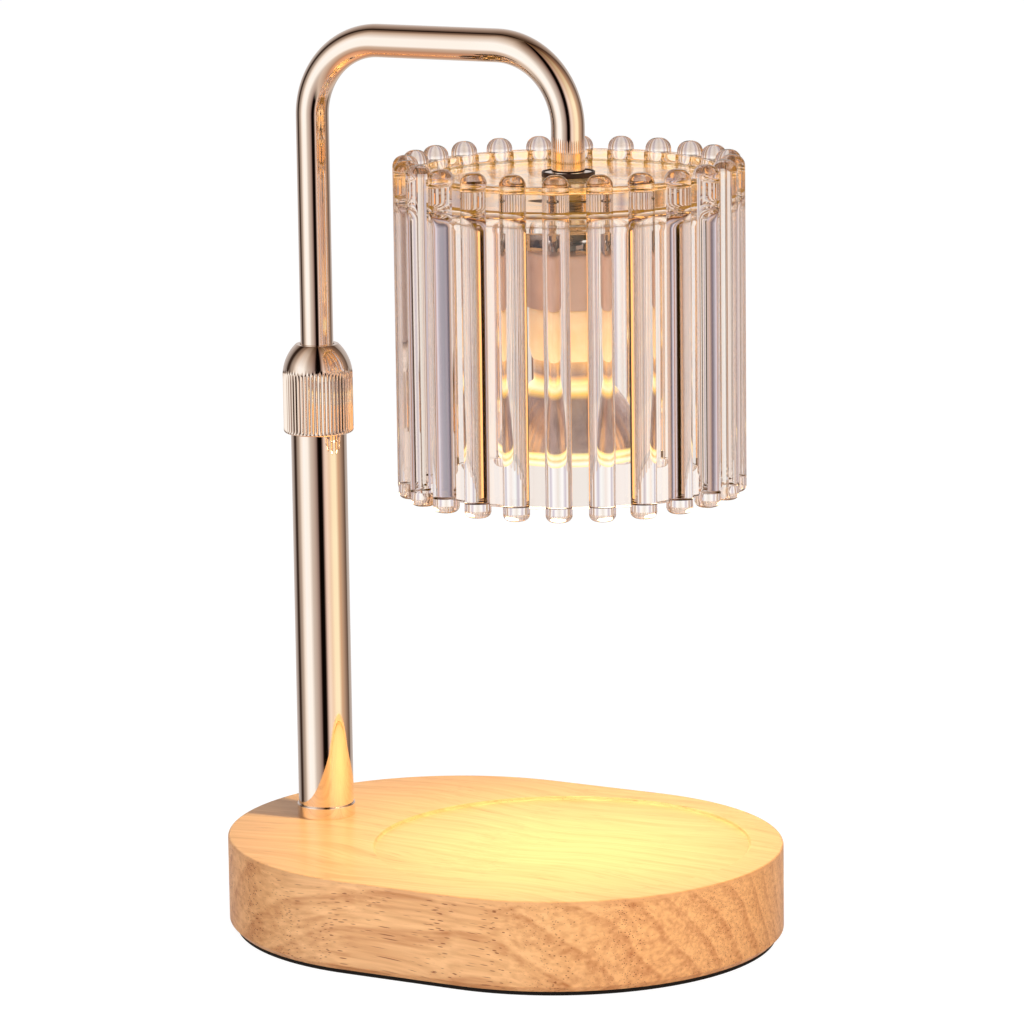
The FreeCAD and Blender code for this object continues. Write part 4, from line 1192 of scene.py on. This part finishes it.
@dataclass
class Arm:
    """Gooseneck tube with its stop bush below and the nipple in its upper end."""

    bend: float = 27.0
    wall: float = 0.7
    bend_steps: int = 36
    sides: int = 72
    thread_pitch: float = 1.0
    thread_depth: float = 0.55
    thread_ease: float = 0.8
    thread_rings: int = 8
    thread_sides: int = 48
    thread_crease: float = 60.0
    nipple_bore: float = 3.8
    nipple_core: float = 4.1

    def build(self) -> None:
        """Sweep the tube, cut the nipple's thread and dress the rest."""
        tube, stud, column = Extent("arm_tube"), Extent("shade_nipple"), Extent("column_tube").axis[0]
        radius, end = column - tube.low.x, stud.axis[0]
        crown = tube.top - radius
        route = [(column, tube.foot), (column, crown), (end, crown), (end, Extent("shade_flange").top)]
        stand_for(self.sweep(route, radius), "arm_tube", Finishes.PLATE)
        self.make_nipple(stud)
        dress(Finishes.NYLON, "arm_stop_bush")
        dress(Finishes.ZINC, "arm_retaining_rings")
        dress(Finishes.SHEATH, "arm_lead")

    def sweep(self, route: list[Point], radius: float) -> Piece:
        """Bend the tube along its route.

        Args:
            route: X and height of the route's corners.
            radius: the tube's outer radius.

        Returns:
            The tube, open at both ends.
        """
        curve = bpy.data.curves.new("arm_route", "CURVE")
        curve.dimensions = "3D"
        line = curve.splines.new("POLY")
        line.points.add(len(route) - 1)
        for point, (x, z) in zip(line.points, route):
            point.co = (x * MM, 0, z * MM, 1)
        bar = tube_pattern().apply(hang("gooseneck_pipe", curve), Finishes.PLATE, Bend=self.bend * MM,
                                   Bend_Steps=self.bend_steps, Radius=radius * MM, Sides=self.sides)
        settle(bar)
        shape = bmesh.new()
        shape.from_mesh(bar.data)
        caps = [face for face in shape.faces if len(face.verts) > 4]
        bmesh.ops.delete(shape, geom=caps, context="FACES_ONLY")
        shape.to_mesh(bar.data)
        shape.free()
        shell = bar.modifiers.new("wall", "SOLIDIFY")
        shell.thickness, shell.offset = self.wall * MM, -1.0
        return settle(plain(bar))

    def make_nipple(self, stud: Extent) -> None:
        """Hollow nipple with its rolled thread.

        Args:
            stud: where it lies.
        """
        steps = round((stud.top - stud.foot) * self.thread_rings)
        rise = (stud.top - stud.foot) / steps
        points = [(stud.radius, stud.foot + rise * k) for k in range(steps + 1)]
        points += [(self.nipple_bore, stud.top), (self.nipple_bore, stud.foot)]
        cut = rolled_pattern().apply(
            lathe("threaded_nipple", points, stud.axis, self.thread_sides), Finishes.ZINC,
            Axis_X=stud.axis[0] * MM, Count=1.0, Turns_per_Metre=1 / (self.thread_pitch * MM),
            Depth=self.thread_depth * MM, Inner=self.nipple_core * MM, Foot=stud.foot * MM,
            Top=stud.top * MM, Ease=self.thread_ease * MM)
        stand_for(settle(cut, math.radians(self.thread_crease)), "shade_nipple", Finishes.ZINC)


@dataclass
class Shade:
    """Ribbed glass bell with the disc, gaskets, washer and nut that clamp it."""

    sides: int = 192
    rib_count: int = 24
    rib_sides: int = 40
    rib_radius: float = 4.5
    rib_circle: float = 55.5
    first_angle: float = 8.4
    top_rounding: float = 3.8
    foot_rounding: float = 2.2
    stand_up: float = 4.3
    hang_down: float = 3.9
    wall_radius: float = 55.0
    wall: float = 4.5
    plate_drop: float = 3.0
    plate: float = 6.0
    plate_fillet: float = 7.0
    plate_seat: float = 2.6
    hole: float = 5.3
    edge: float = 0.7
    clamp_bore: float = 5.05
    lip: float = 0.75
    lip_rise: float = 0.3
    lip_gap: float = 0.06

    def build(self) -> None:
        """Make the bell, set its ribs on it, and make the clamp."""
        shade, axis = Extent("glass_shade"), Extent("shade_flange").axis
        bell = lathe("ribbed_shade", self.bell_profile(shade), axis, self.sides)
        side = [(0, shade.foot), (self.rib_radius, shade.foot, self.foot_rounding),
                (self.rib_radius, shade.top, self.top_rounding), (0, shade.top)]
        rib = lathe("shade_rib", rounded(side, steps=10), sides=self.rib_sides)
        fused = rib_pattern().apply(bell, Finishes.SHADE_GLASS, Rib=rib, Count=self.rib_count,
                                    First_Angle=math.radians(self.first_angle), Circle=self.rib_circle * MM,
                                    Axis_X=axis[0] * MM)
        bpy.data.objects.remove(rib)
        glass = stand_for(settle(fused), "glass_shade", Finishes.SHADE_GLASS)
        glass.visible_shadow = False
        self.make_clamp()

    def bell_profile(self, shade: Extent) -> list[Point]:
        """Profile of the bell: wall, thick top plate and the fillet under it.

        Args:
            shade: where the glass lies.

        Returns:
            Distance out and height of its points.
        """
        top, foot, edge = shade.top - self.stand_up, shade.foot + self.hang_down, self.edge
        wall, bore, hole = self.wall_radius, self.wall_radius - self.wall, self.hole
        upper = top - self.plate_drop
        lower = upper - self.plate
        return rounded([(hole, lower, edge), (bore, lower, self.plate_fillet), (bore, foot, edge),
                        (wall, foot, edge), (wall, top, edge), (bore, top, edge),
                        (bore, upper, self.plate_seat), (hole, upper, edge)], steps=8, hold=0.1)

    def make_clamp(self) -> None:
        """Plated disc in its lipped gasket above the glass, steel washer below; the rest are CAD nodes."""
        inner, fine = self.clamp_bore, {"steps": 4, "hold": 0.08}
        for name, node, finish, easing in (("cover_disc", "shade_flange", Finishes.PLATE, 0.45),
                                           ("shade_disc", "shade_washer", Finishes.ZINC, 0.2)):
            disc = Extent(node)
            turned(name, node, finish, [(inner, disc.foot), (disc.radius, disc.foot, easing / 2),
                                        (disc.radius, disc.top, easing), (inner, disc.top)], **fine)
        cover, seat = Extent("shade_flange"), Extent("shade_top_gasket")
        lip_top, bore = cover.top + self.lip_rise, cover.radius + self.lip_gap
        # The lipped gasket is dark and stands up round the disc's edge, so a dark ring shows round the disc.
        turned("lipped_gasket", "shade_top_gasket", Finishes.DARK_SILICONE,
               [(inner, seat.foot), (bore + self.lip, seat.foot, 0.2), (bore + self.lip, lip_top, 0.3),
                (bore, lip_top, 0.2), (bore, seat.top), (inner, seat.top)], **fine)
        dress(Finishes.SILICONE, "shade_low_gasket")
        dress(Finishes.ZINC, "shade_nut", "bracket_nuts", "holder_bracket", "holder_screws")


@dataclass
class Holder:
    """Twist-lock lamp holder in its copper-coloured can."""

    wall: float = 0.5
    shoulder: float = 1.6
    lead_hole: float = 2.6

    def build(self) -> None:
        """Make the can and dress the ceramic and its contacts."""
        can = Extent("lamp_holder_cover")
        inner, roof = can.radius - self.wall, can.top - self.wall
        turned("holder_can", "lamp_holder_cover", Finishes.COPPER,
               [(self.lead_hole, roof), (inner, roof, self.shoulder - self.wall), (inner, can.foot),
                (can.radius, can.foot, 0.2), (can.radius, can.top, self.shoulder), (self.lead_hole, can.top)],
               hold=0.15)
        dress(Finishes.HOLDER_CERAMIC, "lamp_holder_body")
        dress(Finishes.BRASS, "holder_contacts")


@dataclass
class ReflectorLamp:
    """Lit reflector lamp: ceramic cap, facetted glass bell, front glass, capsule and filament."""

    rim_height: float = 4.8
    bell_height: float = 21.4
    bell_curve: float = 42.0
    neck_radius: float = 12.6
    stem_radius: float = 8.4
    wall: float = 1.2
    cap_chamfer: float = 1.0
    cap_gap: float = 0.05
    facets: int = 30
    facet_sides: int = 4
    facet_crease: float = 9.0
    rim_rounding: float = 0.4
    beam_radius: float = 8.0
    beam_power: float = 0.43
    beam_colour: str = "#ffefbb"

    def build(self) -> None:
        """Make the cap and the reflector, dress the glass and put the beam under it."""
        self.make_cap()
        self.make_reflector()
        dress(Finishes.FRONT_GLASS, "bulb_front_glass")
        dress(Finishes.CAPSULE_GLASS, "bulb_capsule")
        dress(Finishes.TUNGSTEN, "bulb_filament")
        dress(Finishes.ZINC, "bulb_pins")
        front = Extent("bulb_front_glass")
        beam = hang_light("lamp_beam", Vector((front.axis[0], 0, front.foot - 0.5)) * MM,
                          2 * self.beam_radius * MM, self.beam_power, self.beam_colour)
        beam.data.shape = "DISK"
        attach(beam, "bulb")

    def make_cap(self) -> None:
        """Ceramic cap that holds the pins."""
        cap, roof = Extent("bulb_cap"), Extent("bulb_reflector").top + self.cap_gap
        bore, chamfer, radius = self.stem_radius + self.cap_gap, self.cap_chamfer, cap.radius
        turned("ceramic_cap", "bulb_cap", Finishes.CAP_CERAMIC,
               [(bore, cap.foot), (self.neck_radius + chamfer / 2, cap.foot, 0.4),
                (radius, cap.foot + 4 * chamfer, 1.0), (radius, cap.top, chamfer), (0, cap.top), (0, roof),
                (bore, roof)], hold=0.12)

    def make_reflector(self) -> None:
        """Glass bell, smooth outside and facetted inside."""
        glass, cap = Extent("bulb_reflector"), Extent("bulb_cap")
        radius, wall, neck, stem = glass.radius, self.wall, self.neck_radius, self.stem_radius
        foot = glass.foot + self.rim_height
        top = foot + self.bell_height
        start, end = (neck - wall, top - wall), (radius - 2 * wall, foot)
        points = rounded([(radius - wall, glass.foot), (radius, glass.foot, self.rim_rounding),
                          (radius, foot), *bowed((radius, foot), (neck, top), -self.bell_curve, 20),
                          (neck, top), (neck, cap.foot), (stem, cap.foot), (stem, glass.top, 0.5),
                          (0, glass.top), (0, glass.top - wall), (stem - wall, glass.top - wall),
                          (stem - wall, top), start,
                          *bowed(start, end, self.bell_curve, 7), end,
                          (radius - wall, foot - wall)], hold=0.15)
        blank = lathe("facetted_reflector", points, glass.axis, self.facets * self.facet_sides)
        cut = facet_pattern().apply(blank, Finishes.REFLECTOR, Axis_X=glass.axis[0] * MM,
                                    Count=float(self.facets), Rim=(foot - 0.1) * MM)
        stand_for(settle(cut, math.radians(self.facet_crease)), "bulb_reflector", Finishes.REFLECTOR)


# --- studio and camera ----------------------------------------------------------------------

def hang_light(name: str, place: Vector, size: float, power: float, colour: str) -> Piece:
    """Square light that shines down and is not seen itself.

    Args:
        name: the light's name.
        place: where it hangs, in metres.
        size: its side, in metres.
        power: its power in watts.
        colour: its hex colour.

    Returns:
        The light.
    """
    light = bpy.data.lights.new(name, "AREA")
    light.size, light.energy, light.color = size, power, linear(colour)[:3]
    hung = hang(name, light)
    hung.location = place
    hung.visible_camera = hung.visible_glossy = hung.visible_transmission = False
    return hung


@dataclass
class Studio(Wiring):
    """White sweep in a dim room with cards round it, given by direction.

    Attributes:
        front: compass angle, in degrees from +X, of the camera's side.
        low_level: room light on matt surfaces from the horizon.
        high_level: room light on them from overhead.
        seen: by degrees to the right of the camera's side, the tones that metal sees.
        through: by degrees from straight ahead or behind, the tones that light bent by glass finds.
        rearward: what the room's other half, past the glass's own sides, takes off those tones.
        halves: degrees over which that sets in.
        sides: degrees where the glass's own sides begin and end, each with its blend.
        lamplit: tone of the lit glass, as metal beside it and the glass itself mirror it.
        lamplit_gain: how much brighter than a white card that is.
        below: by the sine of its height, the tones that metal sees of the lit base and the floor.
        above: by the sine of its height, how the room darkens both towards the ceiling.
        ground: sines of height between which metal's view turns from the cards to the base.
        card_gain: brightness of a white card.
        floor_half: half the floor's width, in metres.
        floor_drop: how far it lies below the lamp, in millimetres.
        floor_share: how much of it glows in the view, so that it is white there.
        floor_gain: how bright that glow is.
        key: place in metres, side, power and colour of the key light.
        fill: the same of the fill light.
        aim: where both point, in metres.
    """

    front: float = -61.3
    low_level: str = "#d6d6da"
    high_level: str = "#8e8e98"
    seen: Stops = (
        (-180, "#cfc6c2"), (-150, "#c0b6b2"), (-130, "#958a85"), (-122, "#3c2e28"), (-111, "#35271f"),
        (-101, "#9c8d82"), (-91, "#b5a498"), (-79, "#f5ebe2"), (-66, "#ffffff"), (-48, "#fffcf8"),
        (-35, "#d0c4bb"), (-20, "#b7a49a"), (-9, "#86706a"), (-5, "#2c1c17"), (0, "#060302"),
        (12, "#100906"), (16, "#8d766c"), (21, "#dcc2b6"), (29, "#f5e0cf"), (42, "#f0d5ba"),
        (55, "#fff0cd"), (70, "#fff2cf"), (84, "#d2ab8c"), (98, "#b3967f"), (112, "#8c7364"),
        (127, "#5c4b40"), (134, "#ada19a"), (180, "#cfc6c2"))
    through: Stops = (
        (0, "#f1e8e2"), (5, "#faf5f3"), (11, "#ffffff"), (18, "#c6bdcb"), (26, "#fffcfa"), (33, "#b0805a"),
        (40, "#fff8f4"), (47, "#7a523e"), (53, "#f2e8ee"), (59, "#b48262"), (63, "#e2dcea"), (66, "#5e5c6c"),
        (69, "#d9b8a4"), (73, "#c3bccb"), (77, "#a87a5c"), (81, "#3c2622"), (85, "#5c3a30"), (90, "#c88a5c"))
    rearward: str = "#f0dfd8"
    halves: Point = (86, 100)
    sides: tuple[float, ...] = (93, 99, 126, 134)
    lamplit: str = "#ffba6e"
    lamplit_gain: float = 1.8
    below: Stops = (
        (-1.0, "#f2b98e"), (-0.9, "#e2a27a"), (-0.81, "#b98c70"), (-0.72, "#bfa28e"), (-0.5, "#d6c2b2"))
    above: Stops = (
        (0.3, "#ffffff"), (0.62, "#e0d4cb"), (0.8, "#c6b5a8"), (0.92, "#9c8777"), (0.98, "#705c4c"),
        (1.0, "#65513f"))
    ground: Point = (-0.38, -0.55)
    card_gain: float = 1.08
    floor_half: float = 12.0
    floor_drop: float = 0.1
    floor_share: float = 0.82
    floor_gain: float = 1.15
    key: SoftLight = ((1.5, -0.85, 0.5), 0.9, 15.0, "#fffaf4")
    fill: SoftLight = ((-0.9, -1.3, 0.45), 1.1, 8.0, "#f8f9ff")
    aim: Place = (0, 0, 0.12)

    def build(self) -> None:
        """Make the world, the floor and the lights."""
        self.make_world()
        self.make_floor()
        for name, light in (("key_light", self.key), ("fill_light", self.fill)):
            hung = hang_light(name, *light)
            hung.rotation_euler = (Vector(self.aim) - hung.location).to_track_quat("-Z", "Y").to_euler()

    def cards(self, way: Socket, ray: bpy.types.NodeOutputs) -> Node:
        """Tone that a ray off metal or out of glass meets, by its direction in the room.

        Args:
            way: the ray's direction.
            ray: the outputs of the world's Light Path node.

        Returns:
            The node that gives the colour.
        """
        add, tones, degree = self.add, self.tones, 1 / 180
        turned_way = add("Mapping", {"Vector": way, "Rotation": (0, 0, -math.radians(self.front))})
        apart = add("SeparateXYZ", turned_way).outputs
        angle, height = add("ARCTAN2", apart["Y"], apart["X"]), apart["Z"]
        behind = add("MapRange", add("ABSOLUTE", angle), 0.0, math.pi, 1.0, 0.0)
        stripes = tones(add("PINGPONG", behind, 0.5), self.through, degree)
        half = tones(behind, tuple(zip(self.halves, ("#ffffff", self.rearward))), degree)
        clear = add("Mix", {0: 1.0, 6: stripes, 7: half}, data_type="RGBA", blend_type="MULTIPLY")
        beside = tones(behind, tuple(zip(self.sides, ("#000000", "#ffffff", "#ffffff", "#000000"))), degree)
        twice = add("MULTIPLY", beside, ray["Glossy Depth"], use_clamp=True)
        warm = add("VectorMath SCALE", {0: linear(self.lamplit)[:3], "Scale": self.lamplit_gain})
        glass = add("Mix", {0: twice, 6: clear, 7: warm}, data_type="RGBA")
        down = add("MapRange", height, *self.ground, 0.0, 1.0)
        seen = tones(angle, self.seen, math.radians(1))
        metal = add("Mix", {0: down, 6: seen, 7: tones(height, self.below)}, data_type="RGBA")
        low = add("Mix", {0: ray["Is Transmission Ray"], 6: metal, 7: glass}, data_type="RGBA")
        return add("Mix", {0: 1.0, 6: low, 7: tones(height, self.above)}, data_type="RGBA",
                   blend_type="MULTIPLY")

    def make_world(self) -> None:
        """World that lights matt surfaces plainly and shows white in the view, cards in metal and glass."""
        world = bpy.context.scene.world = bpy.data.worlds.new("white_studio")
        world.use_nodes = True
        self.tree, add = world.node_tree, self.add
        self.tree.nodes.clear()
        ray, way = add("LightPath").outputs, add("TexCoord").outputs["Generated"]
        room = add("ValToRGB", add("SeparateXYZ", way).outputs["Z"],
                   stops=((0.15, self.low_level), (0.85, self.high_level)))
        mirrored = add("MAXIMUM", ray["Is Glossy Ray"], ray["Is Transmission Ray"])
        other = add("MixShader", mirrored, add("Background", room, 1.0),
                    add("Background", self.cards(way, ray), self.card_gain))
        both = add("MixShader", ray["Is Camera Ray"], other, add("Background", "#ffffff", 1.0))
        add("OutputWorld", both)

    def make_floor(self) -> None:
        """Pale floor, white in the view but for a soft shadow; metal and glass see the world in its place."""
        shape = bmesh.new()
        bmesh.ops.create_grid(shape, x_segments=1, y_segments=1, size=self.floor_half)
        bmesh.ops.translate(shape, verts=shape.verts, vec=(0, 0, -self.floor_drop * MM))
        floor, made = new_piece("studio_floor", shape), bpy.data.materials.new("pale_sweep")
        made.use_nodes = True
        self.tree, add = made.node_tree, self.add
        self.tree.nodes.clear()
        tone = add("ValToRGB", add("TexNoise", {"Scale": 220.0}), stops=((0.3, "#f7f7f7"), (0.7, "#fbfbfb")))
        share = add("MULTIPLY", add("LightPath").outputs["Is Camera Ray"], self.floor_share)
        glow = add("Emission", "#ffffff", self.floor_gain)
        add("OutputMaterial", add("MixShader", share, add("BsdfDiffuse", tone), glow))
        floor.data.materials.append(made)
        floor.visible_glossy = floor.visible_transmission = False


@dataclass
class Camera:
    """The studio's camera: its place in millimetres, the way it looks in radians, and its lens."""

    place: Place = (819.35, -1497.01, 479.72)
    yaw: float = -0.4983
    pitch: float = 0.1916
    roll: float = -0.0132
    lens: float = 176.467

    def build(self) -> None:
        """Make the camera and give it to the scene."""
        level = math.cos(self.pitch)
        ahead = Vector((math.sin(self.yaw) * level, math.cos(self.yaw) * level, -math.sin(self.pitch)))
        right = Vector((math.cos(self.yaw), -math.sin(self.yaw), 0))
        up = right.cross(ahead)
        across = right * math.cos(self.roll) + up * math.sin(self.roll)
        upright = -right * math.sin(self.roll) + up * math.cos(self.roll)
        data = bpy.data.cameras.new("studio_camera")
        data.lens, data.sensor_width, data.clip_start, data.clip_end = self.lens, 36.0, 0.05, 50.0
        camera = bpy.context.scene.camera = hang("studio_camera", data)
        camera.matrix_world = (Matrix.Translation(Vector(self.place) * MM)
                               @ Matrix((across, upright, -ahead)).transposed().to_4x4())


def main() -> None:
    """Build the lamp, sub-assembly by sub-assembly, then its studio."""
    logging.basicConfig(level=logging.INFO, format="%(name)s: %(message)s")
    bpy.context.scene.view_settings.view_transform = "Standard"
    for part in (Camera(), Base(), Column(), Lock(), Arm(), Shade(), Holder(), ReflectorLamp(), Studio()):
        part.build()
        log.info("%s is built", type(part).__name__)


if __name__ == "__main__":
    main()
